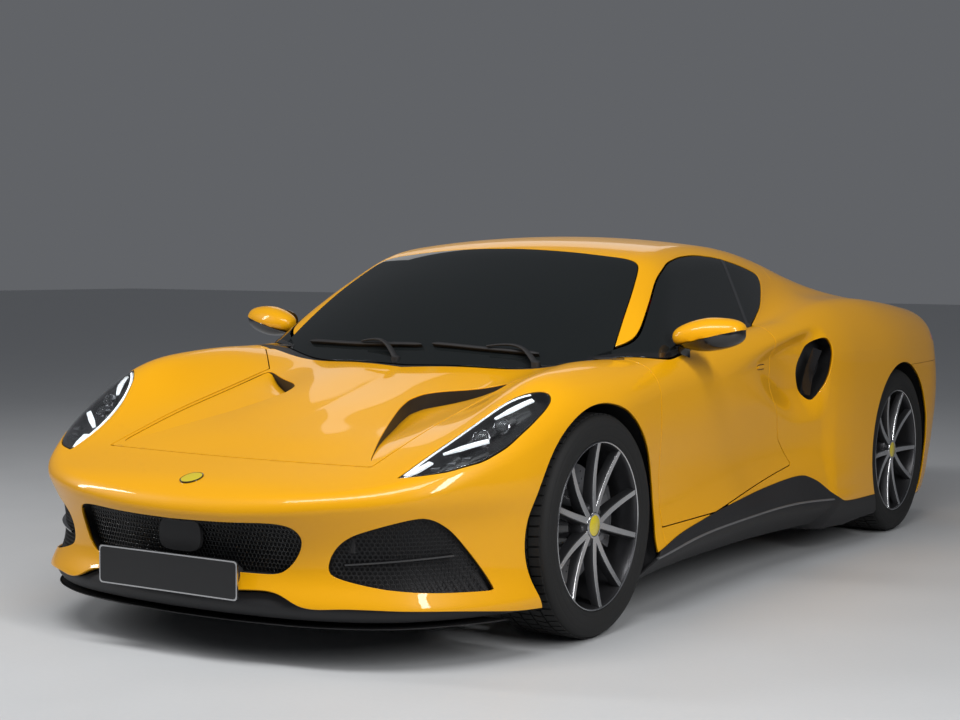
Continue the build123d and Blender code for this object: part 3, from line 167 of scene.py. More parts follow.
finishes = {
    "paint": finish(
        "yellowPaint", (0.80, 0.362, 0.0010), (0.88, 0.420, 0.0020), (0.34, 0.42), 0.02, 900.0, 0.5,
        Coat_Weight=0.5, Coat_Roughness=0.03, Specular_IOR_Level=0.2
    ),
    "blackGloss": finish(
        "blackGloss", (0.006, 0.006, 0.007), (0.014, 0.014, 0.015), (0.10, 0.18), Coat_Weight=0.6,
        Coat_Roughness=0.04
    ),
    "blackPlastic": finish(
        "blackPlastic", (0.012, 0.012, 0.013), (0.026, 0.026, 0.028), (0.50, 0.64), 0.25, 700.0,
        Specular_IOR_Level=0.3
    ),
    "innerPaint": finish("innerPaint", (0.30, 0.13, 0.002), (0.40, 0.17, 0.003), (0.45, 0.60), 0.05, 200.0),
    # Window glass: its near-black colour is painted shade of the dark cabin seen through it.
    "glass": glassSheetFinish("windowGlassPaintedShade", (0.010, 0.012, 0.013), (0.022, 0.026, 0.027), (0.0, 0.02), 0.35),
    "lampCover": glassSheetFinish("lampCover", (0.95, 0.96, 0.97), (1.0, 1.0, 1.0), (0.0, 0.01), 1.0),
    "lampDark": finish(
        "lampHousing", (0.008, 0.008, 0.009), (0.03, 0.03, 0.032), (0.15, 0.3), 0.1, 120.0, Coat_Weight=0.5
    ),
    "lampChrome": finish(
        "lampChrome", (0.20, 0.21, 0.22), (0.48, 0.49, 0.51), (0.12, 0.28), 0.05, 160.0, Metallic=1.0
    ),
    "tyre": finish(
        "tyreRubber", (0.009, 0.009, 0.009), (0.020, 0.020, 0.020), (0.66, 0.84), 0.3, 500.0,
        Specular_IOR_Level=0.3
    ),
    "wheelFace": finish(
        "wheelFace", (0.035, 0.035, 0.038), (0.060, 0.060, 0.064), (0.28, 0.38), 0.1, 800.0, Metallic=0.7
    ),
    "wheelBright": finish(
        "wheelBright", (0.50, 0.50, 0.51), (0.72, 0.72, 0.73), (0.14, 0.26), 0.1, 900.0, stretch=(1, 1, 6),
        Metallic=1.0
    ),
    "disc": finish(
        "discIron", (0.22, 0.22, 0.23), (0.42, 0.42, 0.44), (0.25, 0.42), 0.25, 350.0, Metallic=0.9
    ),
    "caliper": finish(
        "caliperSilver", (0.48, 0.48, 0.50), (0.66, 0.66, 0.68), (0.30, 0.42), 0.15, 250.0, Metallic=0.8
    ),
    "steel": finish(
        "darkSteel", (0.06, 0.06, 0.065), (0.14, 0.14, 0.15), (0.38, 0.55), 0.2, 180.0, Metallic=0.7
    ),
    "alloy": finish(
        "castAlloy", (0.20, 0.20, 0.21), (0.34, 0.34, 0.35), (0.42, 0.58), 0.3, 240.0, Metallic=0.8
    ),
    "tub": finish("tubPanel", (0.015, 0.015, 0.016), (0.035, 0.035, 0.037), (0.55, 0.7), 0.2, 260.0),
    "leather": finish(
        "blackLeather", (0.018, 0.017, 0.017), (0.040, 0.038, 0.037), (0.42, 0.58), 0.5, 520.0, 0.8
    ),
    "suede": finish(
        "greySuede", (0.045, 0.045, 0.048), (0.085, 0.085, 0.09), (0.80, 0.95), 0.5, 900.0, 0.9,
        Sheen_Weight=0.4
    ),
    "stitch": finish("yellowStitch", (0.62, 0.30, 0.01), (0.80, 0.42, 0.02), (0.6, 0.8), 0.4, 900.0),
    "tailRed": finish(
        "tailRed", (0.30, 0.004, 0.004), (0.55, 0.010, 0.008), (0.06, 0.14), 0.1, 120.0, Coat_Weight=1.0,
        Emission_Color=(0.6, 0.01, 0.01, 1), Emission_Strength=0.25
    ),
    "tailGlow": finish(
        "tailGlow", (0.80, 0.02, 0.02), (0.95, 0.04, 0.03), (0.2, 0.3), Emission_Color=(1.0, 0.05, 0.04, 1),
        Emission_Strength=1.4
    ),
    "lampWhite": finish(
        "lampWhite", (0.85, 0.90, 0.95), (1.0, 1.0, 1.0), (0.15, 0.25), Emission_Color=(0.90, 0.96, 1.0, 1),
        Emission_Strength=0.8
    ),
    "lampGlass": glassSheetFinish("lampGlass", (0.50, 0.55, 0.60), (0.70, 0.74, 0.78), (0.0, 0.04), 0.9),
    "plate": finish("plateFace", (0.006, 0.006, 0.007), (0.012, 0.012, 0.013), (0.25, 0.35), 0.05, 60.0),
    "trimSilver": finish(
        "trimSilver", (0.45, 0.45, 0.46), (0.65, 0.65, 0.66), (0.2, 0.3), 0.05, 300.0, Metallic=1.0
    ),
    "capYellow": finish(
        "capYellow", (0.62, 0.50, 0.01), (0.78, 0.62, 0.02), (0.25, 0.35), 0.05, 300.0, Coat_Weight=0.8
    )
}
print("finishes made")

axles = {"front": -1.2715, "rear": 1.3035}

# Heights of the lower body's upper surface: a row for each Y, a column for each X.
topShape = {
    "columns": [0.0, 0.25, 0.50, 0.62, 0.72, 0.80, 0.88, 0.96],
    "rows": {
        -2.25: [0.400, 0.400, 0.392, 0.382, 0.365, 0.340, 0.310, 0.280],
        -2.15: [0.478, 0.476, 0.468, 0.456, 0.435, 0.408, 0.370, 0.330],
        -2.05: [0.515, 0.514, 0.508, 0.500, 0.486, 0.464, 0.430, 0.380],
        -1.90: [0.550, 0.551, 0.553, 0.554, 0.550, 0.532, 0.495, 0.440],
        -1.75: [0.593, 0.594, 0.598, 0.612, 0.622, 0.612, 0.572, 0.510],
        -1.60: [0.631, 0.632, 0.640, 0.670, 0.700, 0.695, 0.650, 0.580],
        -1.45: [0.669, 0.670, 0.676, 0.725, 0.772, 0.765, 0.715, 0.640],
        -1.27: [0.714, 0.714, 0.717, 0.768, 0.806, 0.794, 0.742, 0.665],
        -1.10: [0.757, 0.756, 0.757, 0.798, 0.818, 0.802, 0.752, 0.676],
        -0.93: [0.792, 0.790, 0.788, 0.806, 0.818, 0.806, 0.762, 0.688],
        -0.70: [0.800, 0.800, 0.800, 0.812, 0.824, 0.818, 0.778, 0.709],
        -0.40: [0.800, 0.800, 0.810, 0.828, 0.848, 0.848, 0.802, 0.730],
        0.00: [0.800, 0.800, 0.820, 0.848, 0.878, 0.885, 0.848, 0.770],
        0.30: [0.820, 0.820, 0.830, 0.862, 0.900, 0.914, 0.888, 0.810],
        0.60: [0.850, 0.850, 0.860, 0.890, 0.928, 0.950, 0.930, 0.850],
        0.95: [0.880, 0.880, 0.890, 0.920, 0.956, 0.978, 0.960, 0.880],
        1.30: [0.900, 0.900, 0.905, 0.930, 0.955, 0.966, 0.945, 0.870],
        1.60: [0.905, 0.905, 0.910, 0.925, 0.938, 0.940, 0.915, 0.840],
        1.85: [0.912, 0.914, 0.918, 0.925, 0.922, 0.908, 0.876, 0.800],
        2.05: [0.930, 0.932, 0.934, 0.930, 0.912, 0.882, 0.838, 0.760],
        2.25: [0.948, 0.948, 0.944, 0.928, 0.895, 0.850, 0.790, 0.700],
    },
}

# How far the wall stands inside the plan outline: a row for each Y, a column for each Z.
wallShape = {
    "columns": [0.1, 0.14, 0.17, 0.2, 0.24, 0.3, 0.36, 0.42, 0.46, 0.52, 0.6, 0.7, 0.85, 1.0],
    "rows": {
        -2.20: [0.11, 0.052, 0.03, 0.034, 0.05, 0.056, 0.046, 0.014, 0.002, 0.0, 0.0, 0.0, 0.0, 0.0],
        -2.00: [0.06, 0.02, 0.008, 0.016, 0.036, 0.047, 0.042, 0.022, 0.004, 0.0, 0.0, 0.0, 0.0, 0.0],
        -1.75: [0.04, 0.014, 0.006, 0.014, 0.026, 0.032, 0.03, 0.02, 0.006, 0.0, 0.01, 0.03, 0.06, 0.1],
        -1.50: [0.04, 0.016, 0.01, 0.014, 0.02, 0.022, 0.018, 0.011, 0.006, 0.002, 0.006, 0.02, 0.05, 0.1],
        -1.27: [0.04, 0.018, 0.01, 0.012, 0.018, 0.02, 0.016, 0.01, 0.004, 0.0, 0.003, 0.012, 0.04, 0.1],
        -0.90: [0.09, 0.052, 0.02, -0.01, -0.004, 0.01, 0.018, 0.02, 0.02, 0.017, 0.013, 0.016, 0.04, 0.1],
        -0.40: [0.12, 0.08, 0.04, 0.002, -0.012, 0.006, 0.022, 0.03, 0.032, 0.03, 0.024, 0.02, 0.04, 0.1],
        0.10: [0.12, 0.082, 0.046, 0.008, -0.004, 0.02, 0.038, 0.05, 0.052, 0.048, 0.036, 0.02, 0.03, 0.09],
        0.35: [0.11, 0.07, 0.034, 0.0, 0.0, 0.02, 0.034, 0.044, 0.044, 0.038, 0.026, 0.012, 0.02, 0.08],
        0.60: [0.09, 0.05, 0.018, 0.0, 0.004, 0.01, 0.016, 0.018, 0.018, 0.014, 0.008, 0.004, 0.02, 0.08],
        0.95: [0.02, 0.008, 0.0, 0.0, 0.0, 0.0, 0.0, 0.0, 0.0, 0.0, 0.0, 0.002, 0.02, 0.07],
        1.30: [0.02, 0.008, 0.0, 0.0, 0.0, 0.0, 0.0, 0.0, 0.0, 0.0, 0.0, 0.002, 0.02, 0.07],
        1.65: [0.05, 0.03, 0.022, 0.018, 0.014, 0.01, 0.005, 0.002, 0.0, 0.0, 0.0, 0.006, 0.03, 0.08],
        1.90: [0.09, 0.07, 0.06, 0.05, 0.042, 0.03, 0.02, 0.012, 0.007, 0.002, 0.0, 0.006, 0.03, 0.07],
        2.20: [0.16, 0.13, 0.115, 0.105, 0.09, 0.07, 0.052, 0.036, 0.028, 0.02, 0.014, 0.022, 0.03, 0.03],
    },
}

# The plan outline: half width along the flanks, and how far the nose and the tail reach at each X.
flankShape = {
    -2.30: 0.700, -2.00: 0.712, -1.90: 0.762, -1.82: 0.803, -1.68: 0.860, -1.45: 0.902, -1.27: 0.915,
    -0.90: 0.904, -0.40: 0.895, 0.10: 0.902, 0.35: 0.912, 0.60: 0.928, 0.95: 0.943, 1.30: 0.9475,
    1.65: 0.936, 1.85: 0.910, 2.00: 0.862, 2.30: 0.780
}
noseShape = {
    0.00: -2.2065, 0.15: -2.200, 0.30: -2.180, 0.45: -2.140, 0.55: -2.092, 0.65: -2.020, 0.72: -1.945,
    0.78: -1.860, 0.95: -1.55
}
tailShape = {
    0.00: 2.2065, 0.25: 2.200, 0.45: 2.182, 0.60: 2.155, 0.72: 2.115, 0.80: 2.070, 0.86: 2.010, 0.95: 1.88
}

# Cabin: centre line height at each Y, half width of the side glass plane at the belt, and its lean.
roofShape = {
    -2.40: -0.300, -1.60: 0.300, -1.30: 0.540, -1.15: 0.660, -1.00: 0.785, -0.90: 0.868, -0.80: 0.944,
    -0.70: 1.012, -0.60: 1.073, -0.50: 1.127, -0.40: 1.173, -0.30: 1.199, -0.20: 1.212, -0.05: 1.222,
    0.10: 1.226, 0.30: 1.220, 0.50: 1.200, 0.70: 1.166, 0.95: 1.108, 1.20: 1.040, 1.50: 0.955, 1.80: 0.880,
    2.10: 0.800
}
cabinShape = {"bow": 0.16, "crown": 0.13, "lean": 0.64, "beltZ": 0.85}
cabinSide = {
    -1.20: 0.790, -0.90: 0.792, -0.40: 0.794, 0.00: 0.792, 0.30: 0.785, 0.60: 0.765, 0.95: 0.730,
    1.30: 0.690, 1.70: 0.650, 2.10: 0.62
}


# Shares of the knot values in a natural cubic spline at each point.
def splineWeights(knots, at):
    k = np.asarray(knots, float)
    count, gap = len(k), np.diff(k)
    left, right = np.eye(count), np.zeros((count, count))
    for i in range(1, count - 1):
        left[i, i - 1 : i + 2] = gap[i - 1], 2 * (gap[i - 1] + gap[i]), gap[i]
        right[i, i - 1 : i + 2] = 6 / gap[i - 1], -6 / gap[i - 1] - 6 / gap[i], 6 / gap[i]
    bend = np.linalg.solve(left, right)
    flat = np.clip(np.ravel(at), k[0], k[-1])
    i = np.clip(np.searchsorted(k, flat) - 1, 0, count - 2)
    t = (flat - k[i]) / gap[i]
    weights = np.zeros((len(flat), count))
    rows = np.arange(len(flat))
    weights[rows, i] += 1 - t
    weights[rows, i + 1] += t
    weights += (((1 - t) ** 3 - (1 - t)) * gap[i] ** 2 / 6)[:, None] * bend[i]
    weights += ((t**3 - t) * gap[i] ** 2 / 6)[:, None] * bend[i + 1]
    return weights.reshape(np.shape(at) + (count,))


def curve(shape, at):
    return splineWeights(list(shape), at) @ np.array(list(shape.values()))


# A table's surface at rows and columns that broadcast against each other.
def sheet(shape, row, column):
    table = np.array(list(shape["rows"].values()))
    return (splineWeights(list(shape["rows"]), row) @ table * splineWeights(shape["columns"], column)).sum(-1)


def smoothMax(a, b, k):
    h = np.maximum(k - np.abs(a - b), 0) / k
    return np.maximum(a, b) + h * h * k / 4


def ramp(value, low, high):
    t = np.clip((value - low) / (high - low), 0, 1)
    return t * t * (3 - 2 * t)


def topHeight(x, y):
    return sheet(topShape, y, np.abs(x))


scoop = {"depth": 0.066}


# The channel in the door that leads to the side intake, deepest just ahead of it.
def scoopInset(y, z):
    upper = 0.772 + 0.145 * (y + 0.36)
    lower = 0.66 - 0.10 * ramp(y, -0.1, 0.35)
    along = ramp(y, -0.45, 0.36) ** 1.5 * (1 - ramp(y, 0.40, 0.53))
    across = ramp(z, lower - 0.04, lower + 0.10) * (1 - ramp(z, upper - 0.065, upper + 0.01))
    return scoop["depth"] * along * across


def lowerField(x, y, z):
    side = np.abs(x)
    wall = sheet(wallShape, y, z) + scoopInset(y, z)
    flank = (side - curve(flankShape, y)) / np.sqrt(1 + slope(flankShape, y) ** 2)
    nose = (curve(noseShape, side) - y) / np.sqrt(1 + slope(noseShape, side) ** 2)
    tail = (y - curve(tailShape, side)) / np.sqrt(1 + slope(tailShape, side) ** 2)
    plan = smoothMax(smoothMax(flank, nose, 0.03), tail, 0.05)
    top = (z - topHeight(side, y)) * 0.97
    edge = 0.05 + 0.04 * ramp(y, -1.2, 0.2)
    return smoothMax(smoothMax(plan + wall, top, edge), 0.118 - z, 0.01)


def slope(shape, at):
    step = 0.004
    return (curve(shape, at + step) - curve(shape, at - step)) / (2 * step)


def cabinField(x, y, z):
    side = np.abs(x)
    bow = cabinShape["bow"] * (1 - ramp(y, -0.5, 0.1))
    reach = y - bow * side**2
    fall = slope(roofShape, reach)
    top = (z - curve(roofShape, reach) + cabinShape["crown"] * side**2) / np.sqrt(1 + fall**2)
    lean = cabinShape["lean"]
    tuck = np.maximum(0.80 - z, 0) * (1 - ramp(y, 0.30, 0.60))
    wall = (
        side - curve(cabinSide, y) + lean * (np.maximum(z, 0.78) - cabinShape["beltZ"]) + tuck
    ) / math.hypot(1, lean)
    return np.maximum(smoothMax(top, wall, 0.07), y - 2.0)


def bodyField(x, y, z):
    lower, cabin = lowerField(x, y, z), cabinField(x, y, z)
    blend = 0.006 + 0.20 * ramp(y, 0.08, 0.75)
    return -smoothMax(-lower, -cabin, blend)


# Triangles on a field's zero surface, from a grid of cells.
def netSurface(field, low, high, cell):
    axes = [np.arange(low[i], high[i] + cell, cell) for i in range(3)]
    value = field(axes[0][:, None, None], axes[1][None, :, None], axes[2][None, None, :])
    corners = [(i, j, k) for i in (0, 1) for j in (0, 1) for k in (0, 1)]
    shape = [n - 1 for n in value.shape]

    def corner(c):
        return value[c[0] : c[0] + shape[0], c[1] : c[1] + shape[1], c[2] : c[2] + shape[2]]

    inside = sum((corner(c) < 0).astype(np.int8) for c in corners)
    cells = np.argwhere((inside > 0) & (inside < 8))
    number = -np.ones(shape, int)
    number[tuple(cells.T)] = np.arange(len(cells))
    total, hits = np.zeros((len(cells), 3)), np.zeros(len(cells))
    for a in corners:
        for axis in range(3):
            if a[axis]:
                continue
            b = tuple(1 if i == axis else a[i] for i in range(3))
            va = corner(a)[tuple(cells.T)]
            vb = corner(b)[tuple(cells.T)]
            cut = (va < 0) != (vb < 0)
            share = np.where(cut, va / np.where(cut, va - vb, 1), 0)
            place = np.array(a, float)[None, :] + share[:, None] * np.eye(3)[axis]
            total += place * cut[:, None]
            hits += cut
    points = (cells + total / hits[:, None]) * cell + np.array([a[0] for a in axes])
    quads = []
    sign = value < 0
    for axis in range(3):
        u, v = [i for i in range(3) if i != axis]
        near = [slice(None)] * 3
        far = [slice(None)] * 3
        near[axis], far[axis] = slice(None, -1), slice(1, None)
        flips = np.argwhere(sign[tuple(near)] != sign[tuple(far)])
        keep = (flips[:, u] > 0) & (flips[:, v] > 0) & (flips[:, u] < shape[u]) & (flips[:, v] < shape[v])
        flips = flips[keep]
        outward = sign[tuple(flips.T)]
        ring = []
        for du, dv in ((1, 1), (0, 1), (0, 0), (1, 0)):
            at = flips.copy()
            at[:, u] -= du
            at[:, v] -= dv
            ring.append(number[tuple(at.T)])
        ring = np.array(ring).T
        turn = outward if axis != 1 else ~outward
        ring[~turn] = ring[~turn][:, ::-1]
        quads.append(ring)
    quads = np.concatenate(quads)
    return points, np.concatenate([quads[:, [0, 1, 2]], quads[:, [0, 2, 3]]])


def gradient(field, p, step=0.0015):
    parts = []
    for axis in range(3):
        shift = np.zeros(3)
        shift[axis] = step
        parts.append(field(*(p + shift).T) - field(*(p - shift).T))
    return np.array(parts).T / (2 * step)


# Points moved on to the field's zero surface.
def settle(field, p, rounds=4):
    for _ in range(rounds):
        g = gradient(field, p)
        p = p - g * (field(*p.T) / np.maximum((g**2).sum(1), 1e-6))[:, None]
    return p


def unit(v):
    return v / np.maximum(np.linalg.norm(v, axis=-1, keepdims=True), 1e-12)


# The part of a triangle mesh where value is above zero; cut edges share their new points.
def clip(points, triangles, value):
    value = np.where(np.abs(value) < 1e-7, 1e-7, value)
    above = value[triangles] > 0
    count = above.sum(1)
    whole = triangles[count == 3]
    pieces = [whole]
    pairs, layout = [], []
    for want in (1, 2):
        rows = triangles[count == want]
        flags = above[count == want]
        odd = np.argmax(flags if want == 1 else ~flags, axis=1)
        r = np.arange(len(rows))
        a, b, c = rows[r, odd], rows[r, (odd + 1) % 3], rows[r, (odd + 2) % 3]
        pairs += [np.stack([a, b], 1), np.stack([a, c], 1)]
        layout.append((want, a, b, c))
    every = np.sort(np.concatenate(pairs), axis=1)
    unique, where = np.unique(every, axis=0, return_inverse=True)
    where = np.ravel(where)
    t = value[unique[:, 0]] / (value[unique[:, 0]] - value[unique[:, 1]])
    fresh = points[unique[:, 0]] + (points[unique[:, 1]] - points[unique[:, 0]]) * t[:, None]
    start = 0
    for want, a, b, c in layout:
        ab = len(points) + where[start : start + len(a)]
        ac = len(points) + where[start + len(a) : start + 2 * len(a)]
        start += 2 * len(a)
        if want == 1:
            pieces.append(np.stack([a, ab, ac], 1))
        else:
            pieces += [np.stack([ab, b, c], 1), np.stack([ab, c, ac], 1)]
    return tidy(np.concatenate([points, fresh]), np.concatenate(pieces))


# Points merged where they coincide, and unused points dropped.
def tidy(points, triangles, merge=2e-5):
    keys = np.round(points / merge).astype(np.int64)
    _, first, back = np.unique(keys, axis=0, return_index=True, return_inverse=True)
    triangles = np.ravel(back)[triangles]
    a, b, c = triangles.T
    triangles = triangles[(a != b) & (b != c) & (a != c)]
    used, again = np.unique(triangles, return_inverse=True)
    return points[first][used], np.ravel(again).reshape(-1, 3)


# Signed distance of plan points to a closed outline, above zero inside.
def insideOutline(p, outline):
    a = np.asarray(outline, float)
    b = np.roll(a, -1, axis=0)
    best = np.full(len(p), 1e9)
    crossings = np.zeros(len(p), int)
    for s, e in zip(a, b):
        d = e - s
        t = np.clip(((p - s) @ d) / max(d @ d, 1e-12), 0, 1)
        best = np.minimum(best, np.linalg.norm(p - s - t[:, None] * d, axis=1))
        over = (s[1] > p[:, 1]) != (e[1] > p[:, 1])
        reach = s[0] + (p[:, 1] - s[1]) * d[0] / (d[1] if d[1] else 1e-12)
        crossings += over & (p[:, 0] < reach)
    return np.where(crossings % 2 == 1, best, -best)


def newMesh(name, points, faces, material, normals=None):
    mesh = bpy.data.meshes.new(name)
    mesh.from_pydata(points.tolist(), [], [tuple(f) for f in faces.tolist()])
    mesh.validate()
    mesh.polygons.foreach_set("use_smooth", [True] * len(mesh.polygons))
    if normals is not None:
        mesh.normals_split_custom_set_from_vertices(normals.tolist())
    item = bpy.data.objects.new(name, mesh)
    bpy.context.scene.collection.objects.link(item)
    mesh.materials.append(material)
    return item


# A closed outline with its corners cut again and again until they are curves.
def rounded(points, rounds=3):
    p = np.asarray(points, float)
    for _ in range(rounds):
        after = np.roll(p, -1, axis=0)
        share = np.minimum(0.25, 0.012 / np.maximum(np.linalg.norm(after - p, axis=1), 1e-6))[:, None]
        share = np.maximum(share, 0.18)
        p = np.stack([p + (after - p) * share, after - (after - p) * share], 1).reshape(-1, 2)
    return p


def roundedBox(left, right, low, high):
    return rounded([(left, low), (right, low), (right, high), (left, high)])


# Plan outlines (x, y), side outlines (y, z) and front outlines (x, z) of the left half.
cuts = {
    "bonnet": [
        (-0.1, -1.9075), (0.2, -1.9065), (0.5, -1.902), (0.5, -1.1215), (0.64, -0.9715), (0.64, -0.9265),
        (0.55, -0.9465), (-0.1, -1.05)
    ],
    "vent": [
        (0.484, -1.892), (0.392, -1.715), (0.318, -1.555), (0.268, -1.43), (0.247, -1.345), (0.262, -1.282),
        (0.31, -1.235), (0.40, -1.18), (0.478, -1.135), (0.489, -1.16), (0.486, -1.4), (0.485, -1.7)
    ],
    "lamp": [
        (0.626, -1.949), (0.621, -1.953), (0.6225, -1.945), (0.63, -1.86), (0.645, -1.77), (0.676, -1.665),
        (0.731, -1.552), (0.779, -1.502), (0.815, -1.468), (0.838, -1.475), (0.846, -1.52), (0.842, -1.60),
        (0.828, -1.70), (0.797, -1.787), (0.735, -1.88), (0.68, -1.928)
    ],
    "tailgate": [(-0.1, 0.64), (0.5, 0.64), (0.5, 2.0565), (-0.1, 2.0565)],
    "windscreen": [
        (-0.1, -0.393), (0.2, -0.389), (0.40, -0.376), (0.49, -0.364), (0.535, -0.372), (0.563, -0.40),
        (0.612, -0.55), (0.655, -0.72), (0.688, -0.86), (0.68, -0.92), (0.6, -0.965), (0.4, -1.01),
        (0.2, -1.04), (-0.1, -1.05)
    ],
    "rearGlass": [
        (-0.1, 0.68), (0.42, 0.68), (0.455, 0.70), (0.44, 0.82), (0.37, 1.56), (0.33, 1.60), (-0.1, 1.60)
    ],
    "door": [
        (-0.8615, 0.285), (-0.8615, 0.95), (0.150, 0.95), (0.130, 0.90), (0.125, 0.84), (0.116, 0.65),
        (0.175, 0.48), (0.275, 0.375), (-0.45, 0.285)
    ],
    "sideGlass": [
        (-0.90, 0.70), (-0.865, 0.812), (-0.725, 0.868), (-0.572, 0.969), (-0.395, 1.075), (-0.262, 1.126),
        (-0.123, 1.148), (0.021, 1.155), (0.189, 1.145), (0.351, 1.118), (0.47, 1.090), (0.492, 1.075),
        (0.467, 1.045), (0.40, 1.005), (0.324, 0.965), (0.194, 0.920), (0.11, 0.895), (0.09, 0.70)
    ],
    "duct": [
        (0.372, 0.745), (0.385, 0.785), (0.43, 0.822), (0.481, 0.843), (0.524, 0.847), (0.545, 0.815),
        (0.538, 0.775), (0.527, 0.735), (0.504, 0.673), (0.474, 0.622), (0.448, 0.602), (0.42, 0.624),
        (0.393, 0.672), (0.374, 0.71)
    ],
    "skirt": [
        (-1.2, 0.05), (-1.2, 0.205), (-0.956, 0.208), (-0.749, 0.252), (-0.438, 0.287), (-0.06, 0.313),
        (0.262, 0.329), (0.36, 0.328), (0.453, 0.297), (0.587, 0.222), (0.66, 0.196), (1.2, 0.19),
        (1.2, 0.05)
    ],
    "grille": [
        (-0.1, 0.398), (0.18, 0.402), (0.34, 0.410), (0.395, 0.402), (0.416, 0.372), (0.407, 0.334),
        (0.382, 0.292), (0.349, 0.266), (0.30, 0.262), (-0.1, 0.262)
    ],
    "intake": [
        (0.55, 0.383), (0.628, 0.410), (0.69, 0.428), (0.712, 0.426), (0.735, 0.395), (0.765, 0.322),
        (0.790, 0.262), (0.808, 0.222), (0.812, 0.214), (0.803, 0.213), (0.72, 0.219), (0.62, 0.233),
        (0.54, 0.251), (0.488, 0.267), (0.477, 0.287), (0.487, 0.325), (0.512, 0.358)
    ],
    "tailLamp": [
        (0.47, 0.842), (0.50, 0.872), (0.72, 0.868), (0.86, 0.845), (0.90, 0.80), (0.885, 0.775),
        (0.86, 0.80), (0.72, 0.832), (0.52, 0.836)
    ],
    "meshOutlet": [
        (0.52, 0.60), (0.54, 0.74), (0.66, 0.765), (0.80, 0.745), (0.83, 0.66), (0.78, 0.60), (0.66, 0.575)
    ]
}
cuts["cowl"] = [
    (-0.1, -1.09), (0.55, -0.99), (0.652, -0.94), (0.735, -0.905), (0.755, -0.86), (0.72, -0.80),
    (-0.1, -0.80)
]
cuts["diffuser"] = [
    (-0.1, 0.05), (-0.1, 0.457), (0.19, 0.457), (0.24, 0.405), (0.28, 0.385), (0.52, 0.385), (0.60, 0.36),
    (0.66, 0.27), (0.80, 0.20), (0.80, 0.05)
]
cuts["channel"] = [(-0.1, 0.150), (-0.1, 0.310), (0.47, 0.310), (0.51, 0.285), (0.55, 0.150)]
cuts["mouth"] = rounded([(-0.168, 0.342), (-0.168, 0.449), (0.168, 0.449), (0.168, 0.342)])
cuts["tailBand"] = [(-0.1, 0.847), (-0.1, 0.869), (0.492, 0.869), (0.472, 0.847)]
cuts["tailPlate"] = [(-0.1, 0.460), (-0.1, 0.585), (0.285, 0.585), (0.275, 0.460)]
seamShape = {"door": 0.0033, "lid": 0.0035, "fixed": 0.0012}
for name in (
    "lamp", "vent", "duct", "intake", "grille", "sideGlass", "windscreen", "skirt", "tailLamp",
    "meshOutlet", "rearGlass"
):
    cuts[name] = rounded(cuts[name])
stageShape = {"sky": (0.12, 0.125, 0.135), "reach": 40.0}
lampPlaces = {
    "overhead": {"at": (0.6, -3.4, 4.4), "size": (4.6, 0.9), "power": 165, "aim": (0, -0.8, 0.6)},
    "frontLeft": {"at": (5.2, -3.2, 3.4), "size": (0.5, 3.6), "power": 165, "aim": (0.2, -0.4, 0.6)},
    "frontRight": {"at": (-4.8, -3.6, 3.0), "size": (0.4, 2.8), "power": 90, "aim": (0, -1.0, 0.6)},
    "rear": {"at": (-3.2, 4.6, 3.4), "size": (3.6, 1.6), "power": 16, "aim": (0, 0.8, 0.7)},
}


def makeStage():
    scene = bpy.context.scene
    scene.view_settings.view_transform = "Standard"
    world = bpy.data.worlds.new("studio")
    scene.world = world
    world.use_nodes = True
    tree = world.node_tree
    sky = tree.nodes["Background"]
    sky.inputs["Color"].default_value = (*stageShape["sky"], 1)
    for name, lamp in lampPlaces.items():
        data = bpy.data.lights.new(name, "AREA")
        data.shape = "RECTANGLE"
        data.size, data.size_y = lamp["size"]
        data.energy = lamp["power"]
        light = bpy.data.objects.new(name, data)
        aim = Vector(lamp["aim"]) - Vector(lamp["at"])
        turn = aim.to_track_quat("-Z", "Y").to_matrix().to_4x4()
        light.matrix_world = Matrix.Translation(lamp["at"]) @ turn
        scene.collection.objects.link(light)
    reach = stageShape["reach"]
    corners = np.array([(-reach, -reach, 0), (reach, -reach, 0), (reach, reach, 0), (-reach, reach, 0)])
    floor = newMesh(
        "floor", corners, np.array([[0, 1, 2, 3]]),
        finish(
            "paleFloor", (0.56, 0.57, 0.58), (0.62, 0.63, 0.64), (0.48, 0.62), 0.02, 60.0,
            Specular_IOR_Level=0.35
        )
    )


makeStage()

# Master surfaces, and the panels cut from them.
panelShape = {"cell": 0.011 if fine else 0.018, "skin": 0.011, "roll": 0.0015}


def halfNet(field, low, high):
    cell = panelShape["cell"]
    points, triangles = netSurface(field, (-cell / 2, *low), (1.0, *high), cell)
    points = settle(field, points)
    points[np.abs(points[:, 0]) < 1e-4, 0] = 0
    return points, triangles


nets = {
    "lower": (halfNet(lowerField, (-2.26, 0.09), (0.30, 1.00)), lowerField),
    "cabin": (halfNet(cabinField, (-1.25, 0.70), (0.80, 1.26)), cabinField),
    "body": (halfNet(bodyField, (0.05, 0.09), (2.26, 1.26)), bodyField),
    "roof": (halfNet(bodyField, (-1.25, 0.70), (0.80, 1.26)), bodyField),
}
print("master surfaces made")


# The directed edges that only one triangle has.
def rimEdges(triangles):
    directed = np.concatenate([triangles[:, [0, 1]], triangles[:, [1, 2]], triangles[:, [2, 0]]])
    _, first, counts = np.unique(np.sort(directed, axis=1), axis=0, return_index=True, return_counts=True)
    return directed[first[counts == 1]]


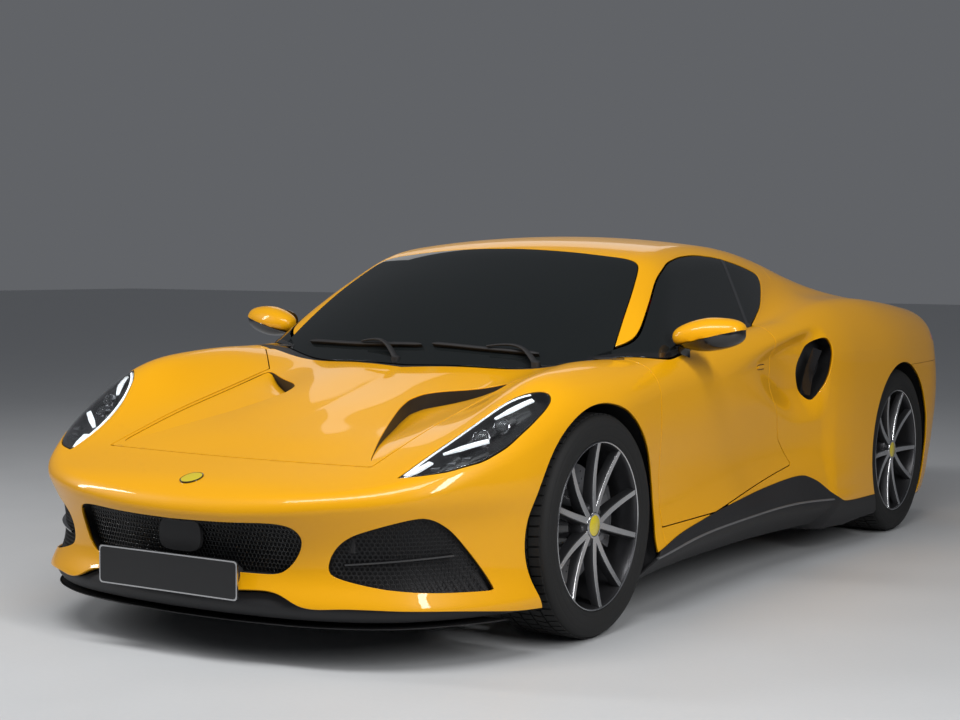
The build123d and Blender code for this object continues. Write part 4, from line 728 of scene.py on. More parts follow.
# A closed panel: the outer sheet, an edge rolled inwards all round, and the inner sheet.
def shell(points, triangles, normals, skin):
    rim = rimEdges(triangles)
    middle = np.abs(points[:, 0]) < 1e-5
    rim = rim[~(middle[rim[:, 0]] & middle[rim[:, 1]])]
    out = np.zeros_like(points)
    side = unit(np.cross(points[rim[:, 1]] - points[rim[:, 0]], normals[rim[:, 0]]))
    np.add.at(out, rim[:, 0], side)
    np.add.at(out, rim[:, 1], side)
    out[middle, 0] = 0
    used = np.unique(rim)
    number = np.zeros(len(points), int)
    number[used] = np.arange(len(used))
    out, up, base = unit(out[used]), normals[used], points[used]
    roll = panelShape["roll"]
    allPoints, allNormals, faces = [points], [normals], [triangles]
    last = rim
    for turn in (30, 60, 90):
        s, c = math.sin(math.radians(turn)), math.cos(math.radians(turn))
        start = sum(len(p) for p in allPoints)
        allPoints.append(base + out * roll * s - up * roll * (1 - c))
        allNormals.append(unit(out * s + up * c))
        now = start + number[rim]
        faces += [
            np.stack([last[:, 1], last[:, 0], now[:, 0]], 1),
            np.stack([last[:, 1], now[:, 0], now[:, 1]], 1)
        ]
        last = now
    start = sum(len(p) for p in allPoints)
    inner = points - normals * skin
    inner[used] += out * roll
    allPoints.append(inner)
    allNormals.append(-normals)
    now = start + rim
    faces += [
        np.stack([last[:, 1], last[:, 0], now[:, 0]], 1), np.stack([last[:, 1], now[:, 0], now[:, 1]], 1)
    ]
    faces.append(triangles[:, ::-1] + start)
    return np.concatenate(allPoints), np.concatenate(faces), np.concatenate(allNormals)


# A left half and its mirror image, sharing the points on the middle plane.
def bothSides(points, triangles, normals, join=True):
    shared = np.abs(points[:, 0]) < 1e-5 if join else np.zeros(len(points), bool)
    number = np.where(shared, np.arange(len(points)), 0)
    number[~shared] = len(points) + np.arange((~shared).sum())
    flip = np.array([-1, 1, 1])
    return (
        np.concatenate([points, points[~shared] * flip]),
        np.concatenate([triangles, number[triangles][:, ::-1]]),
        np.concatenate([normals, normals[~shared] * flip]),
    )


# The part of a master surface where every cut's value is above zero, and its normals.
def cutSurface(net, cuts):
    (points, triangles), field = nets[net]
    for cut in cuts:
        points, triangles = clip(points, triangles, cut(points))
    return points, triangles, unit(gradient(field, points))


# A panel cut from a master surface; mirror is join, apart, or the one side it is on.
def panel(name, net, cuts, material, body="body", skin=None, mirror="join", lift=0.0):
    points, triangles, normals = cutSurface(net, cuts)
    if lift:
        points = points + normals * lift
    points, triangles, normals = shell(points, triangles, normals, skin or panelShape["skin"])
    if mirror == "right":
        points, normals, triangles = points * [-1, 1, 1], normals * [-1, 1, 1], triangles[:, ::-1]
    elif mirror != "left":
        points, triangles, normals = bothSides(points, triangles, normals, mirror == "join")
    item = newMesh(name, points, triangles, finishes[material], normals)
    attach(item, body)
    return item


# An opening counts only on its own side of the car: seen from above, the side, ahead or behind.
zoneShape = {"deck": 0.46, "flank": 0.30, "nose": -1.70, "tail": 1.55}


def inPlan(name, gap=0.0):
    return lambda p: np.minimum(insideOutline(p[:, :2], cuts[name]) - gap, p[:, 2] - zoneShape["deck"])


def outPlan(name, gap=0.0):
    return lambda p: np.maximum(-insideOutline(p[:, :2], cuts[name]) - gap, zoneShape["deck"] - p[:, 2])


def inSide(name, gap=0.0):
    return lambda p: np.minimum(insideOutline(p[:, 1:], cuts[name]) - gap, p[:, 0] - zoneShape["flank"])


def outSide(name, gap=0.0):
    return lambda p: np.maximum(-insideOutline(p[:, 1:], cuts[name]) - gap, zoneShape["flank"] - p[:, 0])


def inFront(name, gap=0.0):
    return lambda p: np.minimum(insideOutline(p[:, [0, 2]], cuts[name]) - gap, zoneShape["nose"] - p[:, 1])


def outFront(name, gap=0.0):
    return lambda p: np.maximum(-insideOutline(p[:, [0, 2]], cuts[name]) - gap, p[:, 1] - zoneShape["nose"])


def inTail(name, gap=0.0):
    return lambda p: np.minimum(insideOutline(p[:, [0, 2]], cuts[name]) - gap, p[:, 1] - zoneShape["tail"])


def outTail(name, gap=0.0):
    return lambda p: np.maximum(-insideOutline(p[:, [0, 2]], cuts[name]) - gap, zoneShape["tail"] - p[:, 1])


archShape = {"front": (axles["front"], 0.345, 0.367), "rear": (axles["rear"], 0.3475, 0.3695)}


def outArch(end, grow=0.0):
    y, z, radius = archShape[end]
    return lambda p: np.maximum(np.hypot(p[:, 1] - y, p[:, 2] - z) - radius - grow, 0.55 - p[:, 0])


def above(axis, value):
    return lambda p: p[:, axis] - value


def below(axis, value):
    return lambda p: value - p[:, axis]


def underCabin(gap=0.0):
    return lambda p: cabinField(*p.T) - gap


def overBody(gap=0.0):
    return lambda p: lowerField(*p.T) - gap


def either(*cuts):
    return lambda p: np.maximum.reduce([cut(p) for cut in cuts])


bumperEdge = {
    0.00: 0.219, 0.25: 0.219, 0.361: 0.212, 0.42: 0.187, 0.515: 0.183, 0.669: 0.178, 0.809: 0.159,
    0.866: 0.143, 1.0: 0.130
}
doorGap, lidGap, seam = seamShape["door"] / 2, seamShape["lid"] / 2, seamShape["fixed"] / 2
roll = panelShape["roll"]
doorFront, tailLine, tailSplit = -0.8615, 2.0565, 0.70  # door front edge, bumper seam, its height
bodyFloor = above(2, 0.124)
pillarShape = {"y": 0.108, "z": 0.925, "lean": 0.493}
buttressShape = {"y": 0.10, "z": 0.905, "rise": 0.30}


def pillarY(p):
    return pillarShape["y"] + (p[:, 2] - pillarShape["z"]) * pillarShape["lean"]


def buttressZ(p):
    return buttressShape["z"] + buttressShape["rise"] * (p[:, 1] - buttressShape["y"])


piece = panel(
    "frontClam", "lower",
    [
        below(1, doorFront - doorGap - roll), outArch("front"),
        lambda p: np.where(p[:, 1] < axles["front"], p[:, 2] - curve(bumperEdge, p[:, 0]), 1),
        outPlan("lamp", 0.0025), outPlan("bonnet", lidGap + roll), outFront("grille", roll),
        outFront("intake", roll), underCabin(0.006), outSide("skirt", seam + roll),
        outPlan("cowl", seam + roll), lambda p: np.maximum(p[:, 0] - 0.45, -1.0 - p[:, 1])
    ],
    "paint"
)
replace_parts(piece, "front_bumper", "front_wings")
piece = panel(
    "bonnetSkin", "lower",
    [inPlan("bonnet", lidGap + roll), outPlan("vent", 0.002 + roll), underCabin(0.004)], "paint", "bonnet"
)
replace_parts(piece, "bonnet")
piece = panel(
    "cowlTrim", "lower", [inPlan("cowl", seam + roll), outPlan("bonnet", lidGap + roll), underCabin(0.004)],
    "blackPlastic"
)
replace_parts(piece, "cowl")
for side in ("left", "right"):
    piece = panel(
        f"doorSkin.{side}", "lower",
        [inSide("door", doorGap + roll), underCabin(0.005), outSide("skirt", 0.003)], "paint",
        f"door_{side}", skin=0.016, mirror=side
    )
    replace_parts(piece, f"door_{side}")
piece = panel(
    "sillPanels", "lower",
    [
        above(1, doorFront + 0.001), outSide("door", doorGap + roll), outSide("skirt", seam + roll),
        below(2, 0.42), below(1, 0.29), above(0, 0.6)
    ],
    "paint", mirror="apart"
)
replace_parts(piece, "sills")
piece = panel(
    "rearWings", "body",
    [
        outSide("door", doorGap + roll), outSide("skirt", seam + roll), above(0, 0.45),
        outPlan("tailgate", lidGap + roll), outSide("sideGlass", 0.004), outArch("rear"),
        below(1, tailLine - seam - roll),
        either(below(1, axles["rear"]), above(2, tailSplit + seam + roll)), outSide("duct", roll),
        either(above(1, 0.29 + 0.001), above(2, 0.4205)), outTail("tailLamp", 0.002),
        above(1, buttressShape["y"]),
        either(above(1, 0.62 + seam + roll), lambda p: buttressZ(p) - p[:, 2]), bodyFloor
    ],
    "paint", mirror="apart"
)
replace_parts(piece, "rear_wings")
piece = panel(
    "roofFrame", "roof",
    [
        below(1, 0.64 - 0.004), either(below(1, 0.62 - seam - roll), below(0, 0.5)),
        lambda p: np.where(
            p[:, 1] > buttressShape["y"], p[:, 2] - buttressZ(p) - seam, lowerField(*p.T) - 0.002
        ),
        outSide("sideGlass", 0.003 + roll), outPlan("windscreen", 0.003 + roll), above(1, -1.0)
    ],
    "paint"
)
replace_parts(piece, "roof_frame")
piece = panel("windscreenGlass", "cabin", [inPlan("windscreen", roll), overBody(0.002)], "glass", skin=0.005)
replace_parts(piece, "windscreen")
for side in ("left", "right"):
    piece = panel(
        f"doorGlass.{side}", "cabin",
        [inSide("sideGlass", roll), overBody(0.012), lambda p: pillarY(p) - 0.012 - p[:, 1], above(0, 0.3)],
        "glass", f"door_{side}", skin=0.005, mirror=side
    )
    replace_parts(piece, f"door_glass_{side}")
    panel(
        f"beltTrim.{side}", "cabin",
        [
            inSide("sideGlass", 0), overBody(0.001), lambda p: 0.011 - lowerField(*p.T), below(1, 0.12),
            above(0, 0.3)
        ],
        "blackGloss", f"door_{side}", skin=0.008, mirror=side, lift=0.002
    )
piece = panel(
    "quarterGlass", "roof",
    [inSide("sideGlass", roll), lambda p: p[:, 1] - pillarY(p) - 0.014, above(0, 0.3), overBody(0.004)],
    "glass", skin=0.005, mirror="apart"
)
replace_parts(piece, "quarter_windows")
panel(
    "pillarTrim", "roof",
    [
        inSide("sideGlass", 0), lambda p: 0.0125 - np.abs(p[:, 1] - pillarY(p)), above(0, 0.3),
        overBody(0.004)
    ],
    "blackGloss", skin=0.006, mirror="apart", lift=0.001
)
piece = panel(
    "tailgateSkin", "body", [inPlan("tailgate", lidGap + roll), outPlan("rearGlass", 0.003 + roll)],
    "paint", "tailgate"
)
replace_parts(piece, "tailgate")
piece = panel(
    "rearGlassPane", "body", [inPlan("rearGlass", roll), above(2, 0.8)], "glass", "tailgate", skin=0.005
)
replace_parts(piece, "rear_glass")
piece = panel(
    "rearBumper", "body",
    [
        above(1, axles["rear"]),
        either(above(1, tailLine + seam + roll), below(2, tailSplit - seam - roll)), outArch("rear"),
        outTail("tailLamp", 0.002), outPlan("tailgate", lidGap + roll), outTail("meshOutlet", roll),
        outTail("tailPlate", roll), outTail("tailBand", 0.001), outTail("diffuser", roll), bodyFloor
    ],
    "paint"
)
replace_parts(piece, "rear_bumper")
piece = panel(
    "skirtTrim", "lower",
    [inSide("skirt", seam), above(1, doorFront - 0.10), below(1, 0.30), bodyFloor, outArch("front", 0.01)],
    "blackPlastic", mirror="apart", lift=0.004
)
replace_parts(piece, "side_skirts")
panel(
    "skirtTail", "body",
    [inSide("skirt", seam), above(1, 0.30 - 0.0005), below(1, 1.3), bodyFloor, outArch("rear", 0.01)],
    "blackPlastic", mirror="apart", lift=0.004
)
panel("tailBand", "body", [inTail("tailBand", 0.0), above(1, 1.60)], "blackGloss", lift=-0.0015)
piece = panel(
    "diffuserSkin", "body",
    [inTail("diffuser", 0.0), outTail("channel", roll), outTail("mouth", roll), bodyFloor, above(1, 1.60)],
    "blackPlastic"
)
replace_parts(piece, "diffuser")
print("panels made")


# The object with its modifiers worked into a plain mesh.
def applied(item):
    mesh = bpy.data.meshes.new_from_object(item.evaluated_get(bpy.context.evaluated_depsgraph_get()))
    item.modifiers.clear()
    item.data = mesh
    return item


def hard(item, angle=35):
    item.data.set_sharp_from_angle(angle=math.radians(angle))
    return item


def solidify(item, thickness, offset=-1):
    item.modifiers.new("wall", "SOLIDIFY").thickness = thickness
    item.modifiers["wall"].offset = offset
    return hard(applied(item))


def bevel(item, width, segments=2, angle=30):
    edge = item.modifiers.new("edge", "BEVEL")
    edge.width, edge.segments = width, segments
    edge.limit_method, edge.angle_limit = "ANGLE", math.radians(angle)
    return hard(applied(item))


# A piece from points and faces, its normals made to point outwards.
def make(name, points, faces, material, body, angle=35):
    mesh = bpy.data.meshes.new(name)
    mesh.from_pydata([tuple(p) for p in points], [], [tuple(f) for f in faces])
    work = bmesh.new()
    work.from_mesh(mesh)
    bmesh.ops.remove_doubles(work, verts=work.verts, dist=1e-6)
    bmesh.ops.recalc_face_normals(work, faces=work.faces)
    work.to_mesh(mesh)
    work.free()
    mesh.polygons.foreach_set("use_smooth", [True] * len(mesh.polygons))
    item = bpy.data.objects.new(name, mesh)
    bpy.context.scene.collection.objects.link(item)
    mesh.materials.append(finishes[material])
    if body:
        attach(item, body)
    return hard(item, angle)


# Points and faces through a row of closed rings.
def loft(rings, closed=False, caps=True):
    count = len(rings[0])
    points = np.concatenate(rings)
    faces = []
    for i in range(len(rings) - (0 if closed else 1)):
        a, b = i * count, (i + 1) % len(rings) * count
        faces += [(a + j, a + (j + 1) % count, b + (j + 1) % count, b + j) for j in range(count)]
    if caps and not closed:
        faces += [tuple(range(count))[::-1], tuple(range(len(points) - count, len(points)))]
    return points, faces


# A closed (x, radius) outline turned about the X axis.
def lathe(profile, count=96):
    rings = []
    for angle in np.arange(count) * 2 * math.pi / count:
        rings.append([(x, r * math.cos(angle), r * math.sin(angle)) for x, r in profile])
    return loft([np.array(ring) for ring in rings], closed=True)


# A section (side, up) carried along a path.
def sweep(path, section, up=(0, 0, 1), taper=None):
    path = np.asarray(path, float)
    along = unit(np.gradient(path, axis=0))
    rings = []
    for i, (p, t) in enumerate(zip(path, along)):
        top = np.asarray(up[i] if np.ndim(up) == 2 else up, float)
        side = unit(np.cross(t, top))
        top = np.cross(side, t)
        size = 1 if taper is None else taper[i]
        rings.append(np.array([p + size * (a * side + b * top) for a, b in section]))
    return loft(rings)


def ovalSection(wide, tall, count=12):
    return [(wide * math.cos(a), tall * math.sin(a)) for a in np.arange(count) * 2 * math.pi / count]


# Points around a middle; across and up are the circle's two half axes.
def circle(middle, across, up, count):
    turns = np.arange(count)[:, None] * 2 * math.pi / count
    return middle + np.cos(turns) * across + np.sin(turns) * up


def boxSection(wide, tall):
    return [(-wide, -tall), (wide, -tall), (wide, tall), (-wide, tall)]


def flipped(points):
    return np.asarray(points) * np.array([-1, 1, 1])


# A left piece as it is, or turned over for the right side.
def onSide(points, faces, side):
    return (flipped(points), [face[::-1] for face in faces]) if side == "right" else (points, faces)


def gridFaces(rows, columns):
    index = np.arange(rows * columns).reshape(rows, columns)
    return np.stack([index[:-1, :-1], index[:-1, 1:], index[1:, 1:], index[1:, :-1]], -1).reshape(-1, 4)


# The same piece on both sides of the car, as one mesh.
def bothMade(name, points, faces, material, body="body", angle=35):
    points = np.asarray(points)
    other = [tuple(len(points) + i for i in face[::-1]) for face in faces]
    return make(name, np.concatenate([points, flipped(points)]), list(faces) + other, material, body, angle)


# A recess behind an opening: walls from its edge and a floor.
def pocket(name, net, cuts, depth, material, body="body", mirror="apart", toward=None, wall=0.002):
    points, triangles, normals = cutSurface(net, cuts)
    inward = -normals if toward is None else np.tile(unit(np.array(toward, float)), (len(points), 1))
    rim = rimEdges(triangles)
    middle = np.abs(points[:, 0]) < 1e-5
    rim = rim[~(middle[rim[:, 0]] & middle[rim[:, 1]])] if mirror == "join" else rim
    floor = points + inward * depth
    lip = points - normals * 0.003
    count = len(points)
    walls = np.concatenate(
        [
            np.stack([rim[:, 0], rim[:, 1], rim[:, 1] + count], 1),
            np.stack([rim[:, 0], rim[:, 1] + count, rim[:, 0] + count], 1)
        ]
    )
    allPoints, faces = tidy(np.concatenate([floor, lip]), np.concatenate([triangles, walls]))
    if mirror == "right":
        allPoints, faces = flipped(allPoints), faces[:, ::-1]
    elif mirror != "left":
        other = allPoints[:, 0] > (1e-5 if mirror == "join" else -1)
        number = np.arange(len(allPoints))
        number[other] = len(allPoints) + np.arange(other.sum())
        faces = np.concatenate([faces, number[faces][:, ::-1]])
        allPoints = np.concatenate([allPoints, flipped(allPoints[other])])
    item = newMesh(name, allPoints, faces, finishes[material])
    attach(item, body)
    return solidify(item, wall)


# Points and normals on a field's surface over plan points.
def onSurface(field, x, y, guess=None):
    x, y = np.asarray(x, float), np.asarray(y, float)
    z = topHeight(x, y) if guess is None else guess
    for _ in range(12):
        g = gradient(field, np.stack([x, y, z], 1))
        z = z - field(x, y, z) / np.maximum(g[:, 2], 0.25)
    p = np.stack([x, y, z], 1)
    return p, unit(gradient(field, p))


# A smooth open line through points, evenly spaced.
def along(points, count):
    points = np.asarray(points, float)
    run = np.concatenate([[0], np.cumsum(np.linalg.norm(np.diff(points, axis=0), axis=1))])
    return splineWeights(run, np.linspace(0, run[-1], count)) @ points


# A dark recess behind a front opening.
def frontPocket(name, outline, depth, mirror, toward):
    return pocket(
        name, "lower", [inFront(outline, -0.002)], depth, "blackPlastic", mirror=mirror, toward=toward
    )


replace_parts(frontPocket("grilleBox", "grille", 0.055, "join", (0, 1, 0)), "grilles")
frontPocket("intakeBox", "intake", 0.024, "apart", None)
pocket("lampBox", "lower", [inPlan("lamp", 0.0012)], 0.034, "lampDark", wall=0.0015)
cover = panel(
    "lampCover", "lower", [inPlan("lamp", 0.0035)], "lampCover", skin=0.0025, mirror="apart", lift=-0.0005
)
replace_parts(cover, "headlamps")
splitter = panel(
    "splitterSkin", "lower",
    [
        below(1, -1.60), lambda p: curve(bumperEdge, p[:, 0]) - 0.0035 - p[:, 2], above(2, 0.1215),
        outArch("front", 0.01)
    ],
    "blackPlastic", lift=-0.020
)
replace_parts(splitter, "front_splitter")
trayShape = {"top": 0.1205, "wheelX": 0.49, "wheelReach": 0.42, "skin": 0.003}
panel(
    "underTray", "lower",
    [
        below(2, trayShape["top"]),
        either(
            below(0, trayShape["wheelX"]),
            lambda p: np.abs(p[:, 1] - axles["front"]) - trayShape["wheelReach"]
        )
    ],
    "blackPlastic", skin=trayShape["skin"]
)
panel(
    "rearTray", "body", [below(2, trayShape["top"]), above(1, 0.3005), outArch("rear", 0.01)], "blackPlastic",
    skin=trayShape["skin"]
)

# The body-colour ramp of the bonnet vent, and the dark mouth under the bonnet's inner edge.
ventShape = {"depth": 0.046, "start": -1.90, "full": -1.36, "under": 0.035, "outer": 0.4885}
ventInner = {
    -1.892: 0.484, -1.715: 0.392, -1.555: 0.318, -1.43: 0.268, -1.345: 0.247, -1.282: 0.262, -1.235: 0.31,
    -1.18: 0.40, -1.135: 0.478
}


def makeVent():
    rows, columns = 60, 24
    y = np.linspace(-1.890, -1.136, rows)[:, None] + np.zeros(columns)
    inner = np.interp(y, list(ventInner), list(ventInner.values()))
    t = np.linspace(0, 1, columns)[None, :] + 0 * y
    x = ventShape["outer"] + (inner - ventShape["under"] - ventShape["outer"]) * t
    deep = ventShape["depth"] * ramp(y, ventShape["start"], ventShape["full"])
    z = topHeight(x, y) - 0.0035 - deep * np.minimum(t * 1.15, 1.15) ** 1.5
    points = np.stack([x, y, z], -1).reshape(-1, 3)
    faces = gridFaces(rows, columns)
    item = newMesh(
        "bonnetVent", np.concatenate([points, flipped(points)]),
        np.concatenate([faces[:, ::-1], faces + len(points)]), finishes["paint"]
    )
    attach(item, "bonnet")
    solidify(item, 0.002)


makeVent()
pocket("ventBox", "lower", [inPlan("vent", -0.003)], 0.058, "blackPlastic", body="bonnet")

# Light bars: plan points, half width, how deep the bar lies under the cover, its height.
lampBars = {
    "upper": ([(0.735, -1.628), (0.765, -1.585), (0.800, -1.520)], 0.0085, 0.009, 0.006),
    "lower": ([(0.672, -1.800), (0.705, -1.775), (0.775, -1.722)], 0.0095, 0.009, 0.006),
    "tip": ([(0.634, -1.925), (0.648, -1.885), (0.662, -1.845)], 0.0110, 0.009, 0.006),
}


def lampBar(name, path, wide, deep, tall, material, taper=None):
    plan = along(path, 24)
    points, normals = onSurface(lowerField, plan[:, 0], plan[:, 1])
    size = np.ones(len(plan)) if taper is None else np.interp(np.linspace(0, 1, len(plan)), *zip(*taper))
    points, faces = sweep(points - normals * deep, boxSection(wide, tall / 2), up=normals, taper=size)
    return bothMade(name, points, faces, material)


for name, (path, wide, deep, tall) in lampBars.items():
    lampBar(f"lampBar.{name}", path, wide, deep, tall, "lampWhite", [(0, 0.55), (0.4, 1.0), (1, 0.8)])
lampBar(
    "lampInnerEdge",
    [(0.632, -1.93), (0.640, -1.85), (0.655, -1.77), (0.686, -1.665), (0.738, -1.560), (0.785, -1.508)],
    0.0028, 0.004, 0.003, "lampWhite"
)
lampBar(
    "lampShelf", [(0.690, -1.76), (0.725, -1.70), (0.790, -1.60)], 0.026, 0.026, 0.004, "lampDark",
    [(0, 0.5), (0.4, 1.0), (1, 0.4)]
)

lensRing = [(1.25, -0.012), (1.25, 0.004), (1.08, 0.006), (1.0, 0.002), (1.0, -0.012)]


# A projector lens in a bright ring.
def lampLens(x, y, radius, deep):
    points, normals = onSurface(lowerField, [x], [y])
    forward = unit(np.array([0.25, -0.85, 0.35]))
    side = unit(np.cross(forward, (0, 0, 1)))
    top = np.cross(side, forward)
    centre = points[0] - normals[0] * deep

    def ring(r, out):
        return circle(centre + forward * out, side * r, top * r, 40)

    steps = np.linspace(0.02, 1, 8) * math.pi / 2
    dome = [ring(radius * math.sin(step), 0.010 * math.cos(step)) for step in steps]
    rim = [ring(radius * share, out) for share, out in lensRing]
    return loft(rim, closed=True), loft([*dome, ring(radius, -0.012)])


for number, (x, y, radius) in enumerate([(0.735, -1.705, 0.021), (0.768, -1.645, 0.019)]):
    (ringPoints, ringFaces), (domePoints, domeFaces) = lampLens(x, y, radius, 0.020)
    bothMade(f"lampRing.{number}", ringPoints, ringFaces, "lampChrome")
    bothMade(f"lampLens.{number}", domePoints, domeFaces, "lampGlass")
for number, (x, y) in enumerate([(0.690, -1.868), (0.722, -1.835), (0.752, -1.802)]):
    points, normals = onSurface(lowerField, [x], [y])
    base = points[0] - normals[0] * 0.012
    corners = [
        base + np.array(c) for c in ((-0.013, -0.004, 0.0), (0.013, -0.002, 0.0), (0.002, 0.022, 0.004))
    ]
    bothMade(f"lampGem.{number}", *loft([np.array(corners), np.array(corners) - [0, 0, 0.008]]), "lampChrome")
print("front details made")

# Wheels, turned about the X axis and then put on their axles.
wheelShape = {
    "front": {
        "axle": (0.777, axles["front"], 0.340), "radius": 0.340, "half": 0.1225, "disc": 0.182,
        "caliperTurn": 0, "knuckle": True, "spin": 2
    },
    "rear": {
        "axle": (0.784, axles["rear"], 0.3425), "radius": 0.3425, "half": 0.1475, "disc": 0.175,
        "caliperTurn": 180, "knuckle": False, "spin": 54
    }
}
treadShape = {"height": 0.0055, "count": 72, "rows": 5, "gap": 0.006, "slant": 0.010}
spokeShape = {"pairs": 5, "foot": 0.040, "tip": 0.249, "spread": 16.0, "footSpread": 9.0, "wide": 0.0118}


# A Geometry Nodes tree with a geometry input, named sizes and a geometry output.
def geometryTree(name, sizes):
    tree = bpy.data.node_groups.new(name, "GeometryNodeTree")
    tree.interface.new_socket("Geometry", in_out="INPUT", socket_type="NodeSocketGeometry")
    for label, kind in sizes:
        tree.interface.new_socket(label, in_out="INPUT", socket_type=kind)
    tree.interface.new_socket("Geometry", in_out="OUTPUT", socket_type="NodeSocketGeometry")
    return tree, tree.nodes.new("NodeGroupInput"), tree.nodes.new("NodeGroupOutput")


# A tree applied to an object with its sizes by name, leaving a plain mesh.
def runTree(item, tree, values):
    modifier = item.modifiers.new("repeat", "NODES")
    modifier.node_group = tree
    for socket in tree.interface.items_tree:
        if socket.in_out == "INPUT" and socket.name in values:
            modifier[socket.identifier] = values[socket.name]
    return applied(item)


# Copies of the input turned about the X axis.
def makeTurnTree():
    tree, inputs, outputs = geometryTree(
        "turnedCopies", [("Count", "NodeSocketInt"), ("Finish", "NodeSocketMaterial")]
    )
    points = addNode(tree, "GeometryNodeMeshLine", {"Count": inputs.outputs["Count"], "Offset": (0, 0, 0)})
    index = addNode(tree, "GeometryNodeInputIndex")
    share = addNode(
        tree, "ShaderNodeMath", {0: index.outputs[0], 1: inputs.outputs["Count"]}, operation="DIVIDE"
    )
    turn = addNode(tree, "ShaderNodeMath", {0: share.outputs[0], 1: 2 * math.pi}, operation="MULTIPLY")
    angles = addNode(tree, "ShaderNodeCombineXYZ", {"X": turn.outputs[0]})
    copies = addNode(
        tree, "GeometryNodeInstanceOnPoints",
        {"Points": points.outputs[0], "Instance": inputs.outputs["Geometry"], "Rotation": angles.outputs[0]}
    )
    real = addNode(tree, "GeometryNodeRealizeInstances", {0: copies.outputs[0]})
    dressed = addNode(
        tree, "GeometryNodeSetMaterial", {"Geometry": real.outputs[0], "Material": inputs.outputs["Finish"]}
    )
    tree.links.new(dressed.outputs[0], outputs.inputs[0])
    return tree


turnTree = makeTurnTree()


# A wheel piece made about the X axis, put on its axle.
def placed(item, end, side, spin=0.0):
    x, y, z = wheelShape[end]["axle"]
    mesh = item.data
    mesh.transform(Matrix.Rotation(spin, 4, "X"))
    if side == "right":
        mesh.transform(Matrix.Scale(-1, 4, (1, 0, 0)))
        mesh.flip_normals()
        x = -x
    mesh.transform(Matrix.Translation((x, y, z)))
    return item


def turned(name, points, faces, count, material, angle=35):
    item = make(name, points, faces, material, None, angle)
    item = runTree(item, turnTree, {"Count": count, "Finish": finishes[material]})
    item.data.set_sharp_from_angle(angle=math.radians(angle))
    return item


def tyreProfile(half, radius):
    outer = [
        (half - 0.024, 0.248), (half - 0.013, 0.256), (half - 0.004, 0.275), (half, 0.294),
        (half - 0.002, 0.310), (half - 0.008, radius - 0.016), (half - 0.017, radius - 0.008),
        (half - 0.030, radius - treadShape["height"])
    ]
    outer = along(outer, 60)
    for r, deep in ((0.2715, 0.0012), (0.2990, 0.0008), (0.3165, 0.0010)):
        outer[:, 0] -= deep * np.exp(-((outer[:, 1] - r) / 0.0016) ** 2)
    rest = [(x, radius - treadShape["height"]) for x in np.linspace(half - 0.04, -half + 0.04, 9)]
    return [*map(tuple, outer), *rest, *[(-x, r) for x, r in outer[::-1]]]


# One block of tread, curved with the tyre.
def treadRow(half, radius, row):
    edges = np.linspace(-half + 0.021, half - 0.021, treadShape["rows"] + 1)
    low, high = edges[row] + 0.0035, edges[row + 1] - 0.0035
    step = 2 * math.pi / treadShape["count"]
    reach = step / 2 - treadShape["gap"] / 2 / radius
    slant = treadShape["slant"] / radius * (1 if row % 2 else -1)
    rings = []
    for t in (-1, -0.33, 0.33, 1):
        ring = []
        for x, r in ((low, radius - 0.0075), (high, radius - 0.0075), (high, None), (low, None)):
            across = x / half
            top = radius - 0.0005 - 0.0045 * max(abs(across) - 0.55, 0) ** 2 / 0.2
            angle = t * reach + slant * across
            r = top if r is None else r
            ring.append((x, r * math.cos(angle), r * math.sin(angle)))
        rings.append(np.array(ring))
    return loft(rings)


# One pair of spokes: dark bodies and their bright machined faces.
def spokePieces(half):
    body, face = [], []
    top = np.array([1.0, 0, 0])
    for sign in (-1, 1):
        ends = []
        for radius, spread in (("foot", "footSpread"), ("tip", "spread")):
            a = math.radians(sign * spokeShape[spread])
            ends.append(spokeShape[radius] * np.array([0, math.cos(a), math.sin(a)]))
        foot, tip = ends
        side = unit(np.cross(top, tip - foot))
        dark, bright = [], []
        for t in np.linspace(0, 1, 14):
            centre = (1 - t) * foot + t * tip
            wide = spokeShape["wide"] * (1.12 - 0.25 * t)
            out = half - 0.031 + 0.016 * t**2 - 0.004 * math.sin(math.pi * t)
            deep = 0.034 - 0.012 * t
            lean = -sign * wide * 0.10
            darkEdge = [
                (-wide * 1.25, out - deep), (wide * 1.25, out - deep), (wide, out - 0.003),
                (wide * 0.86, out), (-wide * 0.86, out), (-wide, out - 0.003)
            ]
            brightEdge = [
                (-wide * 0.80, out - 0.001), (wide * 0.80, out - 0.001), (wide * 0.72, out + 0.0009),
                (-wide * 0.72, out + 0.0009)
            ]
            dark.append(np.array([centre + side * a + top * b for a, b in darkEdge]))
            bright.append(np.array([centre + side * (a + lean) + top * b for a, b in brightEdge]))
        body.append(loft(dark))
        face.append(loft(bright))
    return [joined(body), joined(face)]


def joined(parts):
    points, faces = [], []
    for p, f in parts:
        start = sum(len(q) for q in points)
        points.append(np.asarray(p))
        faces += [tuple(start + i for i in face) for face in f]
    return np.concatenate(points), faces


# A small circle that faces along the axle, a distance out from it.
def wheelRing(x, out, radius, count):
    return circle((x, out, 0), (0, radius, 0), (0, 0, radius), count)


